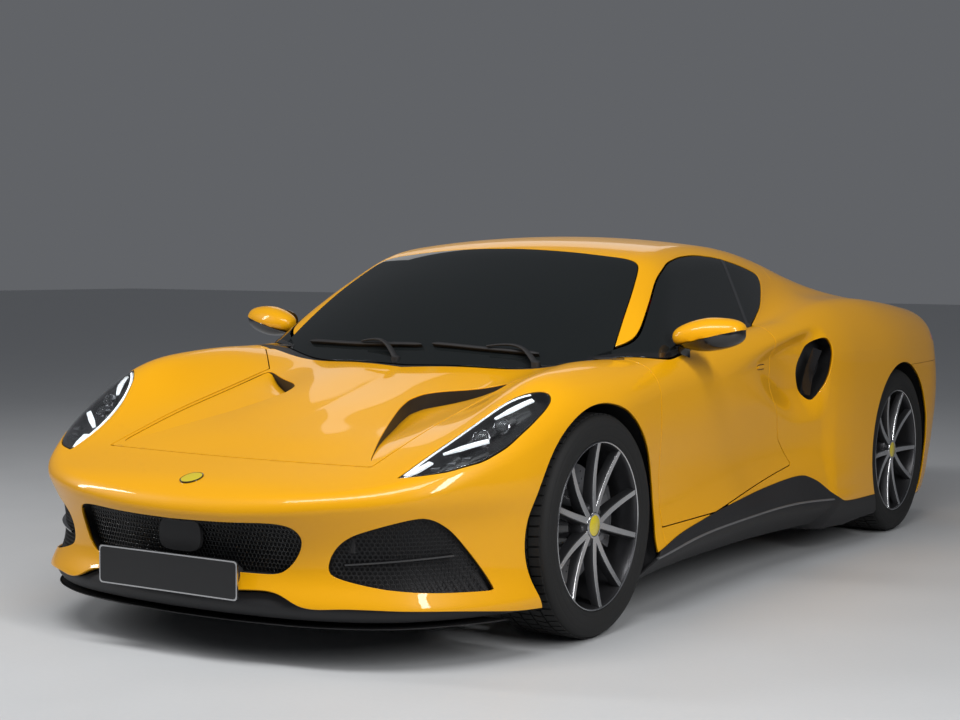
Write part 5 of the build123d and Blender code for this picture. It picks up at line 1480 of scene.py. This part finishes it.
def makeWheel(end, side):
    shape = wheelShape[end]
    half, radius, disc = shape["half"], shape["radius"], shape["disc"]
    body = f"wheel_{end}_{side}"
    tag = f"{end}.{side}"

    def piece(item, replaced=None):
        placed(item, end, side, spin=math.radians(shape["spin"]))
        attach(item, body)
        if replaced:
            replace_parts(item, f"{replaced}_{end}_{side}")

    piece(make(f"tyre.{tag}", *lathe(tyreProfile(half, radius), 120), "tyre", None, 40), "tyre")
    for row in range(treadShape["rows"]):
        piece(turned(f"tread{row}.{tag}", *treadRow(half, radius, row), treadShape["count"], "tyre"))
    lip = half - 0.013
    barrel = [
        (lip, 0.2555), (lip + 0.002, 0.2535), (lip, 0.2505), (lip - 0.010, 0.2465), (lip - 0.030, 0.2440),
        (-half + 0.03, 0.2360), (-half + 0.012, 0.2440), (-half + 0.012, 0.2555), (-half + 0.016, 0.2555),
        (-half + 0.03, 0.2445), (0, 0.2465), (lip - 0.02, 0.2490)
    ]
    piece(make(f"rimBarrel.{tag}", *lathe(barrel, 120), "wheelFace", None), "rim")
    edge = [
        (lip + 0.0022, 0.2538), (lip + 0.0030, 0.2525), (lip + 0.0012, 0.2500), (lip - 0.0006, 0.2500),
        (lip - 0.0006, 0.2540)
    ]
    piece(make(f"rimEdge.{tag}", *lathe(edge, 120), "wheelBright", None))
    (darkPoints, darkFaces), (brightPoints, brightFaces) = spokePieces(half)
    piece(turned(f"spokes.{tag}", darkPoints, darkFaces, spokeShape["pairs"], "wheelFace"))
    piece(turned(f"spokeFaces.{tag}", brightPoints, brightFaces, spokeShape["pairs"], "wheelBright"))
    face = half - 0.031
    hub = [
        (face - 0.055, 0.010), (face - 0.055, 0.070), (face - 0.030, 0.072), (face - 0.010, 0.064),
        (face - 0.003, 0.050), (face + 0.001, 0.038), (face + 0.001, 0.010)
    ]
    piece(make(f"wheelHub.{tag}", *lathe(hub, 72), "wheelFace", None))
    ring = [
        (face + 0.0005, 0.032), (face + 0.0005, 0.040), (face + 0.0035, 0.039), (face + 0.0045, 0.034),
        (face + 0.0035, 0.0315)
    ]
    piece(make(f"capRing.{tag}", *lathe(ring, 60), "wheelBright", None))
    cap = [
        (face - 0.004, 0.001), (face - 0.004, 0.0325), (face + 0.0025, 0.0320), (face + 0.0045, 0.028),
        (face + 0.0055, 0.001)
    ]
    piece(make(f"wheelCap.{tag}", *lathe(cap, 60), "capYellow", None))
    nut = [
        wheelRing(face + x, 0.056, 0.0085 * s, 12)
        for x, s in ((-0.024, 1.0), (-0.0065, 1.0), (-0.0045, 0.75))
    ]
    item = turned(f"wheelNuts.{tag}", *loft(nut), 5, "steel")
    item.data.transform(Matrix.Rotation(math.radians(36), 4, "X"))
    piece(item)
    rotor = [
        (-0.018, 0.110), (-0.018, disc), (-0.009, disc), (-0.009, disc - 0.006), (0.001, disc - 0.006),
        (0.001, disc), (0.010, disc), (0.010, 0.110)
    ]
    piece(make(f"disc.{tag}", *lathe(rotor, 96), "disc", None), "hub")
    bell = [
        (-0.012, 0.030), (-0.012, 0.114), (0.006, 0.114), (0.034, 0.088), (face - 0.045, 0.076),
        (face - 0.045, 0.030)
    ]
    piece(make(f"discBell.{tag}", *lathe(bell, 72), "lampDark", None))
    # Drilled holes drawn as dark plugs on the disc face: painted shade in place of open holes.
    for number, (out, lift) in enumerate([(0.0, 0.0), (0.018, 0.11), (-0.018, 0.055)]):
        c, s = math.cos(lift), math.sin(lift)
        hole = [
            wheelRing(x, 0.146 + out, 0.0032, 8) @ [[1, 0, 0], [0, c, s], [0, -s, c]]
            for x in (0.0085, 0.0104)
        ]
        piece(turned(f"discHoleShade{number}.{tag}", *loft(hole), 18, "tub"))


# A caliper: a bridge over the disc, with four round pots on its outer face.
def makeCaliper(end, side):
    shape = wheelShape[end]
    middle = shape["caliperTurn"]
    rings, pots = [], []
    for turn in np.linspace(-27, 27, 19):
        a = math.radians(middle + turn)
        share = abs(turn) / 27
        outer = 0.2155 - 0.006 * share**4
        inner = 0.1195 + 0.010 * share**6
        front = 0.0395 - 0.007 * share**6
        ring = [
            (0.013, inner), (front - 0.004, inner), (front, inner + 0.006), (front, outer - 0.020),
            (front - 0.010, outer - 0.002), (front - 0.022, outer), (-0.030, outer),
            (-0.0455, outer - 0.014), (-0.0455, 0.186), (0.013, 0.186)
        ]
        rings.append(np.array([(x, r * math.cos(a), r * math.sin(a)) for x, r in ring]))
    item = make(f"caliper.{end}.{side}", *loft(rings), "caliper", None)
    bevel(item, 0.002)
    for turn in (-21, -7, 7, 21):
        a = math.radians(middle + turn)
        centre = np.array([0.038, 0.152 * math.cos(a), 0.152 * math.sin(a)])
        faces = ((0.0, 0.0155), (0.0035, 0.0145))
        pots.append(loft([circle(centre + (out, 0, 0), (0, r, 0), (0, 0, r), 20) for out, r in faces]))
    extra = make(f"caliperPots.{end}.{side}", *joined(pots), "caliper", None)
    for part in (item, extra):
        placed(part, end, side)
        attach(part, f"knuckle_front_{side}" if shape["knuckle"] else "body")


for end in ("front", "rear"):
    for side in ("left", "right"):
        makeWheel(end, side)
        makeCaliper(end, side)
print("wheels made")

mirrorShape = {
    "middle": (0.9225, -0.580, 0.893), "half": (0.120, 0.056, 0.056), "glass": (0.096, 0.0315, 0.043),
    "stalk": [(0.800, -0.560, 0.800), (0.815, -0.568, 0.845), (0.845, -0.576, 0.868), (0.900, -0.580, 0.876)]
}


# A rounded housing, blunt in front and flat behind, drooping towards its inner end.
def mirrorHousing():
    cx, cy, cz = mirrorShape["middle"]
    hx, hy, hz = mirrorShape["half"]
    rows, columns = 28, 36
    points = []
    for i in range(rows + 1):
        polar = math.pi * i / rows
        u = -math.cos(polar)
        wide = math.sin(polar) ** 0.62
        grow = 1.0 - 0.22 * max(-u, 0) ** 1.5 - 0.06 * max(u, 0)
        for j in range(columns):
            a = 2 * math.pi * j / columns
            depth, tall = math.cos(a), math.sin(a)
            depth = abs(depth) ** 0.85 * (1 if depth > 0 else -1)
            y = min(depth * hy * (1.15 if depth < 0 else 0.8), 0.030)
            points.append((cx + hx * u, cy + y * wide + 0.018 * u, cz + tall * hz * wide * grow + 0.010 * u))
    faces = []
    for i in range(rows):
        for j in range(columns):
            a, b = i * columns + j, i * columns + (j + 1) % columns
            faces.append((a, b, b + columns, a + columns))
    return np.array(points), faces


def makeMirrors():
    cx, cy, cz = mirrorShape["middle"]
    for side in ("left", "right"):
        points, faces = mirrorHousing()
        line = cz - 0.012 + 0.25 * (points[:, 0] - cx)
        cap, base = points.copy(), points.copy()
        cap[:, 2] = np.maximum(cap[:, 2], line + 0.0006)
        base[:, 2] = np.minimum(base[:, 2], line - 0.0006)
        base[:, :2] = (base[:, :2] - (cx, cy)) * 0.985 + (cx, cy)
        gx, gy, gz = mirrorShape["glass"]
        c, s = np.cos(np.arange(40) * math.pi / 20), np.sin(np.arange(40) * math.pi / 20)
        glassX, glassZ = gx * np.abs(c) ** 0.7 * np.sign(c), gz * np.abs(s) ** 0.8 * np.sign(s)
        glass = np.stack([cx + glassX, np.full(40, cy + gy), cz + glassZ], 1)
        stalk = along(mirrorShape["stalk"], 18)
        parts = {
            "mirrorCap": (cap, faces, "paint"), "mirrorBase": (base, faces, "blackGloss"),
            "mirrorGlass": (*loft([glass, glass + [0, 0.002, 0]]), "lampChrome"),
            "mirrorStalk": (
                *sweep(stalk, ovalSection(0.030, 0.010), up=(0, 0.2, 1), taper=np.linspace(1.25, 0.8, 18)),
                "blackGloss"
            )
        }
        for name, (p, f, material) in parts.items():
            piece = make(f"{name}.{side}", *onSide(p, f, side), material, f"door_{side}", 50)
            if name == "mirrorCap":
                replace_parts(piece, f"mirror_{side}")


makeMirrors()

wiperShape = {
    "left": {
        "pivot": (0.470, -0.945), "elbow": (0.40, -0.905),
        "blade": [(0.455, -0.895), (0.25, -0.925), (0.06, -0.932)]
    },
    "right": {
        "pivot": (-0.060, -0.985), "elbow": (-0.12, -0.945),
        "blade": [(0.020, -0.938), (-0.25, -0.925), (-0.515, -0.862)]
    }
}


# Points and normals on the windscreen over plan points.
def onScreen(x, y):
    return onSurface(cabinField, x, y, curve(roofShape, y - cabinShape["bow"] * x**2))


def makeWipers():
    for side, shape in wiperShape.items():
        points, normals = onScreen(*along(shape["blade"], 40).T)
        taper = np.interp(np.linspace(0, 1, 40), [0, 0.05, 0.95, 1], [0.4, 1, 1, 0.4])
        rubber = sweep(points + normals * 0.005, boxSection(0.0015, 0.0045), up=normals)
        make(f"wiperRubber.{side}", *rubber, "tyre", "body")
        blade = sweep(points + normals * 0.013, ovalSection(0.0065, 0.0045, 10), up=normals, taper=taper)
        make(f"wiperBlade.{side}", *blade, "blackPlastic", "body")
        middle = points[18] + normals[18] * 0.024
        pivot, elbow = np.array([*shape["pivot"], 0.0]), np.array(shape["elbow"])
        pivot[2] = topHeight(pivot[0:1], pivot[1:2])[0] + 0.012
        near, nearNormal = onScreen(elbow[0:1], elbow[1:2])
        route = along([pivot, near[0] + nearNormal[0] * 0.030, middle], 24)
        rod = sweep(route, ovalSection(0.010, 0.006, 10), taper=np.linspace(1.2, 0.55, 24))
        arm = make(f"wiperArm.{side}", *rod, "blackPlastic", "body")
        knob = [
            circle(pivot + (0, 0, z), (r, 0, 0), (0, r, 0), 20)
            for r, z in ((0.015, -0.020), (0.016, 0.006), (0.010, 0.011))
        ]
        make(f"wiperPivot.{side}", *loft(knob), "blackPlastic", "body")
        if side == "left":
            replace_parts(arm, "wipers")


makeWipers()

plateShape = {
    "half": 0.259, "corner": 0.010, "inset": (0.984, 0.93),
    "front": (-2.1945, 0.193, 0.303, -1), "rear": (2.1945, 0.465, 0.575, 1)
}


# Blank plates in thin frames, front and rear.
def makePlates():
    half, corner, inset = plateShape["half"], plateShape["corner"], plateShape["inset"]
    for name in ("front", "rear"):
        y, low, high, sign = plateShape[name]
        middle = (low + high) / 2
        right, top, bottom = half - corner, high - corner, low + corner
        outline = []
        for cx, cz, start in (
            (right, top, 0), (-right, top, 90), (-right, bottom, 180), (right, bottom, 270)
        ):
            turns = [math.radians(start + a) for a in (0, 30, 60, 90)]
            outline += [(cx + corner * math.cos(a), cz + corner * math.sin(a)) for a in turns]

        def ring(out, wide=1, tall=1):
            return np.array([(x * wide, y + sign * out, (z - middle) * tall + middle) for x, z in outline])

        rings = [ring(-0.004), ring(0.002), ring(0.002, *inset), ring(-0.001, *inset)]
        make(f"plateFrame.{name}", *loft(rings), "trimSilver", "body")
        piece = make(f"plate.{name}", *loft([ring(-0.003, *inset), ring(0.0012, *inset)]), "plate", "body")
        if name == "front":
            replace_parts(piece, "number_plates")
            back = roundedBox(-0.225, 0.225, low + 0.012, high - 0.012)
            mount = [np.array([(x, at, z) for x, z in back]) for at in (-2.1925, -2.125)]
            make("plateMount", *loft(mount), "blackPlastic", "body")


makePlates()

# A blank round badge on the nose, and the sensor panel in the grille.
points, normals = onSurface(lowerField, [0.0], [-2.088])
across, badgeUp = np.array([1.0, 0, 0]), unit(np.cross(normals[0], (1.0, 0, 0)))
badgeRings = [
    circle(points[0] + normals[0] * out, size * 0.034 * across, size * 0.036 * badgeUp, 48)
    for size, out in ((1.0, -0.004), (1.0, 0.0025), (0.93, 0.0035), (0.90, 0.0028), (0.05, 0.0036))
]
make("badgeRim", *loft(badgeRings[:4]), "blackGloss", "body")
make("badge", *loft([badgeRings[3] - normals[0] * 0.004, badgeRings[3], badgeRings[4]]), "capYellow", "body")
panelOutline = roundedBox(-0.078, 0.078, 0.302, 0.394)
sensor = [np.array([(x, y, z) for x, z in panelOutline]) for y in (-2.128, -2.140)]
make("sensorPanel", *loft(sensor), "tub", "body")

# Mesh in the grille and the side intakes.
meshShape = {"pitch": 0.0125, "wire": 0.0014, "cell": 0.0068}


# A six-sided wire ring on every point of the input.
def makeMeshTree():
    tree, inputs, outputs = geometryTree(
        "wireMesh",
        [("Cell", "NodeSocketFloat"), ("Wire", "NodeSocketFloat"), ("Finish", "NodeSocketMaterial")]
    )
    ring = addNode(
        tree, "GeometryNodeCurvePrimitiveCircle", {"Resolution": 6, "Radius": inputs.outputs["Cell"]}
    )
    wire = addNode(
        tree, "GeometryNodeCurvePrimitiveCircle", {"Resolution": 4, "Radius": inputs.outputs["Wire"]}
    )
    tube = addNode(tree, "GeometryNodeCurveToMesh", {0: ring.outputs[0], 1: wire.outputs[0]})
    facing = addNode(tree, "GeometryNodeInputNamedAttribute", {"Name": "facing"}, data_type="FLOAT_VECTOR")
    aligned = addNode(tree, "FunctionNodeAlignRotationToVector", {"Vector": facing.outputs[0]}, axis="Z")
    copies = addNode(
        tree, "GeometryNodeInstanceOnPoints",
        {"Points": inputs.outputs["Geometry"], "Instance": tube.outputs[0], "Rotation": aligned.outputs[0]}
    )
    real = addNode(tree, "GeometryNodeRealizeInstances", {0: copies.outputs[0]})
    dressed = addNode(
        tree, "GeometryNodeSetMaterial", {"Geometry": real.outputs[0], "Material": inputs.outputs["Finish"]}
    )
    tree.links.new(dressed.outputs[0], outputs.inputs[0])
    return tree


meshTree = makeMeshTree()


# Wire mesh filling an outline seen from ahead or behind, on both sides of the car.
def wireMesh(name, outline, low, high, field, start, sense, depth, material="blackGloss"):
    pitch = meshShape["pitch"]
    x = np.arange(low[0], high[0], pitch)
    z = np.arange(low[1], high[1], pitch * 0.866)
    gx, gz = np.meshgrid(x, z)
    gx = gx + (np.arange(len(z)) % 2)[:, None] * pitch / 2
    flat = np.stack([gx.ravel(), gz.ravel()], 1)
    flat = flat[insideOutline(flat, outline) > 0.004]
    spots = np.stack([flat[:, 0], endPoint(field, *flat.T, start, sense), flat[:, 1]], 1)
    facing = unit(gradient(field, spots))
    spots = spots - facing * depth
    outer = spots[:, 0] > pitch / 4
    spots = np.concatenate([spots, flipped(spots[outer])])
    facing = np.concatenate([facing, flipped(facing[outer])])
    mesh = bpy.data.meshes.new(name)
    mesh.from_pydata(spots.tolist(), [], [])
    mesh.attributes.new("facing", "FLOAT_VECTOR", "POINT").data.foreach_set("vector", facing.ravel())
    mesh.materials.append(finishes[material])
    item = bpy.data.objects.new(name, mesh)
    bpy.context.scene.collection.objects.link(item)
    runTree(
        item, meshTree, {"Cell": meshShape["cell"], "Wire": meshShape["wire"], "Finish": finishes[material]}
    )
    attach(item, "body")
    return item


# The skin's Y at points seen from ahead (sense 1) or behind (sense -1).
def endPoint(field, x, z, start, sense):
    y = np.full(len(x), start)
    for _ in range(30):
        y = y + sense * 0.8 * field(x, y, z)
    return y


wireMesh("grilleMesh", cuts["grille"], (0, 0.262), (0.42, 0.41), lowerField, -2.0, 1, 0.030)
wireMesh("intakeMesh", cuts["intake"], (0.48, 0.21), (0.82, 0.44), lowerField, -2.0, 1, 0.012, "blackPlastic")
wireMesh("outletMesh", cuts["meshOutlet"], (0.52, 0.57), (0.84, 0.77), bodyField, 2.0, -1, 0.030)

# Vanes in the front intakes, the side ducts behind the doors.
vaneX = np.linspace(0.515, 0.735, 20)
vaneZ = 0.300 + 0.018 * (vaneX - 0.515) / 0.22
vane = np.stack([vaneX, endPoint(lowerField, vaneX, vaneZ, -2.0, 1) + 0.011, vaneZ], 1)
bothMade("intakeVane", *sweep(vane, boxSection(0.008, 0.0025), up=(0, -0.3, 1)), "blackGloss")
pocket(
    "ductBox", "body", [inSide("duct", -0.002), above(0, 0.5)], 0.10, "blackPlastic", toward=(-0.8, 0.6, 0)
)
ductVane = along([(0.845, 0.462, 0.625), (0.858, 0.470, 0.72), (0.880, 0.490, 0.80)], 16)
bothMade("ductVane", *sweep(ductVane, boxSection(0.0025, 0.018), up=(1, 0.2, 0)), "blackGloss")
skirtEdge = along([(-0.93, 0.196), (-0.686, 0.221), (-0.244, 0.236), (0.257, 0.235), (0.586, 0.215)], 60)


# The outer skin's X at side points.
def sidePoint(y, z):
    x = np.full(len(y), 0.88)
    for _ in range(10):
        x = x - lowerField(x, y, z)
    return x


skirtY, skirtZ = skirtEdge.T
skirtX = sidePoint(skirtY, skirtZ) + 0.003
bothMade("skirtLip", *sweep(np.stack([skirtX, skirtY, skirtZ], 1), ovalSection(0.005, 0.004, 8)), "alloy")

# Tail lamps, rear outlets, exhaust tips.
lamps = panel(
    "tailLampLens", "body", [inTail("tailLamp", 0.001)], "tailRed", skin=0.02, mirror="apart", lift=-0.001
)
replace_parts(lamps, "tail_lamps")


# A recess in the tail, straight forwards from its opening.
def tailPocket(name, outline, depth, material="blackPlastic", mirror="join"):
    pocket(name, "body", [inTail(outline, -0.002)], depth, material, mirror=mirror, toward=(0, -1, 0))


tailPocket("outletBox", "meshOutlet", 0.06, mirror="apart")
tailPocket("plateRecess", "tailPlate", 0.012)
tipShape = {
    "x": 0.088, "z": 0.395,
    "profile": [
        (1.97, 0.0455), (2.190, 0.0475), (2.197, 0.0465), (2.197, 0.0440), (2.190, 0.0430), (1.97, 0.0430)
    ]
}
for side, sign in (("right", -1), ("left", 1)):
    middleX, middleZ = sign * tipShape["x"], tipShape["z"]
    rings = [circle((middleX, y, middleZ), (r, 0, 0), (0, 0, r), 64) for y, r in tipShape["profile"]]
    tip = make(f"exhaustTip.{side}", *loft(rings, closed=True), "steel", "body")
    if side == "left":
        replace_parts(tip, "exhaust_tips")
tailPocket("channelBox", "channel", 0.085)
tailPocket("mouthBox", "mouth", 0.075, "tub")
finShape = {"places": (0.0, 0.125, 0.250, 0.375), "half": 0.0035, "low": 0.152, "high": 0.306}
for number, x in enumerate(finShape["places"]):
    skinY = endPoint(bodyField, np.array([x, x]), np.array([finShape["low"], finShape["high"]]), 2.0, -1)
    corners = np.array(
        [
            (skinY[0] - 0.080, finShape["low"]), (skinY[0] + 0.004, finShape["low"]),
            (skinY[1] + 0.001, finShape["high"]), (skinY[1] - 0.080, finShape["high"])
        ]
    )
    points, faces = loft(
        [np.array([(x + out, y, z) for y, z in corners]) for out in (-finShape["half"], finShape["half"])]
    )
    if x:
        bothMade(f"diffuserFin.{number}", points, faces, "blackGloss")
    else:
        make(f"diffuserFin.{number}", points, faces, "blackGloss", "body")

lipX = np.linspace(-0.70, 0.70, 61)
points, normals = onSurface(lowerField, lipX, curve(tailShape, np.abs(lipX)) - 0.075)
lipTaper = np.interp(np.abs(lipX), [0, 0.60, 0.70], [1, 0.9, 0.2])
make(
    "tailLip", *sweep(points + normals * 0.003, ovalSection(0.022, 0.007, 16), up=normals, taper=lipTaper),
    "blackGloss", "body"
)

# Red light strips in the tail lamps.
for number, (z, low, high) in enumerate(((0.858, 0.53, 0.80), (0.845, 0.56, 0.83))):
    x = np.linspace(low, high, 24)
    stripZ = z - 0.02 * ramp(x, 0.62, 0.88)
    strip = np.stack([x, endPoint(bodyField, x, stripZ, 2.0, -1) - 0.001, stripZ], 1)
    bothMade(f"tailLampStrip.{number}", *sweep(strip, ovalSection(0.0022, 0.0022, 8)), "tailGlow")
print("mirrors, wipers, plates and rear details made")

# A seat: half widths and places across it, and the side-view route (y, z) of each pad.
seatShape = {
    "middle": 0.370, "cushionHalf": 0.135, "bolsterHalf": 0.048, "bolsterAt": 0.186,
    "cushion": [(-0.255, 0.292), (-0.10, 0.280), (0.06, 0.262), (0.125, 0.262)],
    "cushionBolster": [(-0.262, 0.295), (-0.10, 0.292), (0.05, 0.282), (0.135, 0.285)],
    "back": [(0.165, 0.330), (0.215, 0.450), (0.272, 0.610), (0.330, 0.775)],
    "backBolster": [(0.150, 0.320), (0.197, 0.450), (0.255, 0.610), (0.318, 0.745)],
    "head": [(0.346, 0.815), (0.372, 0.870), (0.400, 0.925)],
}


# A stuffed pad along a side-view route: crowned, rounded at its ends, with sewn channels across it.
def pad(name, route, across, half, deep, material, channels=0, cornerPower=0.45):
    rows, columns = (56, 36) if fine else (34, 24)
    line = along([(0, y, z) for y, z in route], rows)
    heading = unit(np.gradient(line, axis=0))
    rings = []
    for i in range(rows):
        t = i / (rows - 1)
        end = min(t, 1 - t) * 2
        swell = max(1 - (1 - min(end / 0.22, 1)) ** 2, 0.02) ** 0.5
        sewn = 1
        if channels and 0.08 < t < 0.92:
            sewn -= 0.16 * math.exp(-(((t * (channels + 1)) % 1 - 0.5) ** 2 - 0.25) ** 2 / 0.0009)
        top = np.array([0, -heading[i][2], heading[i][1]])
        ring = []
        for a in np.arange(columns) * 2 * math.pi / columns:
            c, s = math.cos(a), math.sin(a)
            x = abs(c) ** cornerPower * (1 if c > 0 else -1) * half * (0.93 + 0.07 * swell)
            crown = 1 - 0.18 * abs(x / half) ** 3
            rise = abs(s) ** cornerPower * deep * swell * crown * (sewn if s > 0 else -1)
            ring.append(line[i] + (across + x, 0, 0) + top * rise)
        rings.append(np.array(ring))
    points, faces = loft(rings)
    item = make(name, points, faces, material, "body", 80)
    return item


shellOutline = [
    (-0.288, 0.152), (-0.300, 0.235), (-0.270, 0.246), (-0.10, 0.238), (0.06, 0.226), (0.165, 0.226),
    (0.222, 0.300), (0.330, 0.610), (0.398, 0.800), (0.428, 0.925), (0.455, 0.930), (0.462, 0.865),
    (0.268, 0.262), (0.245, 0.152)
]


def makeSeat(side):
    middle = seatShape["middle"] * (1 if side == "left" else -1)
    rings = [np.array([(middle + x, y, z) for y, z in shellOutline]) for x in (-0.212, 0.212)]
    bowl = make(f"seatShell.{side}", *loft(rings), "blackGloss", "body")
    bevel(bowl, 0.012, 3)
    pad(f"seatCushion.{side}", seatShape["cushion"], middle, seatShape["cushionHalf"], 0.038, "suede", 4)
    backPad = pad(f"seatBack.{side}", seatShape["back"], middle, seatShape["cushionHalf"], 0.034, "suede", 6)
    pad(f"seatHead.{side}", seatShape["head"], middle, 0.105, 0.028, "leather", 1)
    for sign in (-1, 1):
        across = middle + sign * seatShape["bolsterAt"]
        place = "outer" if sign > 0 else "inner"
        for tag in ("cushion", "back"):
            pad(
                f"seat{tag.capitalize()}Bolster.{side}.{place}", seatShape[f"{tag}Bolster"], across,
                seatShape["bolsterHalf"], 0.050, "leather", 0, 0.7
            )
        for tag, lift in (("cushion", 0.0385), ("back", 0.0345)):
            line = along([(middle + sign * 0.118, y, z) for y, z in seatShape[tag]], 40)
            heading = unit(np.gradient(line, axis=0))
            raised = line + np.stack([0 * line[:, 0], -heading[:, 2], heading[:, 1]], 1) * lift * 0.955
            seamLine = sweep(raised[5:35], ovalSection(0.0016, 0.0012, 6), up=(1, 0, 0))
            name = f"seatStitch{tag.capitalize()}.{side}.{'a' if sign > 0 else 'b'}"
            make(name, *seamLine, "stitch", "body")
    return backPad


makeSeat("right")
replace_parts(makeSeat("left"), "seats")

steeringShape = {"middle": (-0.370, -0.375, 0.720), "lean": 24, "radius": 0.172, "grip": 0.0155}


# A flat-bottomed leather rim, three spokes, a hub pad and the column.
def makeSteeringWheel():
    lean = math.radians(steeringShape["lean"])
    axis = np.array([0, math.cos(lean), math.sin(lean)])
    across, tall = np.array([1.0, 0, 0]), np.array([0, -math.sin(lean), math.cos(lean)])
    middle = np.array(steeringShape["middle"])

    def at(x, y, out=0.0):
        return middle + x * across + y * tall + out * axis

    rings = []
    for a in np.arange(72) * math.pi / 36:
        x, y = steeringShape["radius"] * math.cos(a), max(steeringShape["radius"] * math.sin(a), -0.142)
        outward = unit(at(x, y) - middle)
        thick = steeringShape["grip"] * (1.0 + 0.12 * math.exp(-((abs(math.sin(a)) - 0.30) / 0.16) ** 2))
        rings.append(circle(at(x, y), thick * outward, thick * axis, 16))
    rim = make("steeringRim", *loft(rings, closed=True), "leather", "steering_wheel")
    for name, (x, y), wide in (
        ("left", (0.158, 0.012), 0.020), ("right", (-0.158, 0.012), 0.020), ("low", (0.0, -0.140), 0.026)
    ):
        path = along([at(x * t, y * t, -0.020 * (1 - t)) for t in (0.12, 0.5, 0.98)], 12)
        make(
            f"steeringSpoke.{name}",
            *sweep(path, ovalSection(wide, 0.006), up=axis, taper=np.linspace(1.3, 0.8, 12)), "lampDark",
            "steering_wheel"
        )
    hub = [(0.066, -0.058), (0.066, -0.010), (0.055, 0.006), (0.030, 0.012), (0.004, 0.013)]
    hubRings = [circle(at(0, 0, -out - 0.012), 1.12 * r * across, r * tall, 40) for r, out in hub]
    make("steeringHub", *loft(hubRings), "leather", "steering_wheel")
    column = [
        circle(at(0, 0, -out), r * across, r * tall, 32)
        for r, out in ((0.034, 0.050), (0.045, 0.070), (0.045, 0.200))
    ]
    make("steeringColumn", *loft(column), "blackPlastic", "body")
    return rim


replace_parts(makeSteeringWheel(), "steering_wheel")

cabinSet = {"screen": (0.0, -0.470, 0.735, 0.125, 0.055), "cluster": (-0.370, -0.585, 0.800, 0.130, 0.045)}
for name, (x, y, z, wide, tall) in cabinSet.items():
    face = roundedBox(x - wide, x + wide, z - tall, z + tall)
    slabs = [np.array([(a, y + out - 0.25 * (b - z), b) for a, b in face]) for out in (-0.020, -0.002, 0.0)]
    make(f"{name}Panel", *loft(slabs), "blackGloss", "body")

pullLine = [(-0.40, 0.640), (-0.30, 0.655), (-0.12, 0.668), (-0.02, 0.665)]
handleShape = {"z": 0.753, "from": -0.024, "to": 0.060}
handleParts = {
    "doorHandle": (0.0014, (0.0034, 0.0070), "paint"), "handleGap": (0.0, (0.0010, 0.0102), "blackPlastic")
}
for side in ("left", "right"):
    pocket(
        f"doorCard.{side}", "lower",
        [inSide("door", 0.016), underCabin(0.020), above(2, 0.345), above(0, 0.5)], 0.062, "leather",
        body=f"door_{side}", mirror=side, toward=(-1, 0, 0)
    )
    pull = along(pullLine, 24)
    xs = sidePoint(pull[:, 0], pull[:, 1]) - 0.088
    route = np.stack([xs, pull[:, 0], pull[:, 1]], 1)
    taper = np.interp(np.linspace(0, 1, 24), [0, 0.12, 0.88, 1], [0.5, 1, 1, 0.5])
    points, faces = sweep(route, ovalSection(0.016, 0.022), up=(1, 0, 0), taper=taper)
    make(f"doorPull.{side}", *onSide(points, faces, side), "suede", f"door_{side}")
    gripY, gripZ = np.linspace(handleShape["from"], handleShape["to"], 20), np.full(20, handleShape["z"])
    gripX = sidePoint(gripY, gripZ)
    taper = np.interp(np.linspace(0, 1, 20), [0, 0.1, 0.9, 1], [0.5, 1, 1, 0.5])
    for name, (out, section, finishName) in handleParts.items():
        points, faces = sweep(np.stack([gripX + out, gripY, gripZ], 1), ovalSection(*section), taper=taper)
        make(f"{name}.{side}", *onSide(points, faces, side), finishName, f"door_{side}")

linerShape = {"radius": 0.393, "inner": 0.600, "gap": 0.0115, "low": 0.150}


# A curved sheet over each wheel, from the wheelhouse to just inside the skin.
def makeArchLiners():
    rows, columns, sheets = 40, 10, []
    for end, field in (("front", lowerField), ("rear", bodyField)):
        middleY, middleZ, _ = archShape[end]
        start = math.asin((linerShape["low"] - middleZ) / linerShape["radius"])
        turn = np.linspace(start, math.pi - start, rows)
        y, z = middleY + linerShape["radius"] * np.cos(turn), middleZ + linerShape["radius"] * np.sin(turn)
        x = np.full(rows, 0.88)
        for _ in range(30):
            x = x - 0.8 * field(x, y, z)
        share = np.linspace(0, 1, columns)[None, :]
        across = linerShape["inner"] + (x[:, None] - linerShape["gap"] - linerShape["inner"]) * share
        points = np.stack([across, y[:, None] + 0 * share, z[:, None] + 0 * share], -1).reshape(-1, 3)
        faces = gridFaces(rows, columns)
        sheets += [(points, faces.tolist()), (flipped(points), faces[:, ::-1].tolist())]
    liner = newMesh("archLiners", *[np.array(part) for part in joined(sheets)], finishes["blackPlastic"])
    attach(liner, "body")
    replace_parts(solidify(liner, 0.002), "arch_liners")


makeArchLiners()

nodeFinishes = {
    "tub": ("chassis", "front_frame", "rear_frame"),
    "alloy": ("engine", "knuckle_front_left", "knuckle_front_right"),
    "steel": ("front_suspension", "rear_suspension"), "leather": ("dashboard",)
}
for finishName, nodes in nodeFinishes.items():
    for node in nodes:
        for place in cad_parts[node].material_slots:
            place.material = finishes[finishName]
print("cabin made")
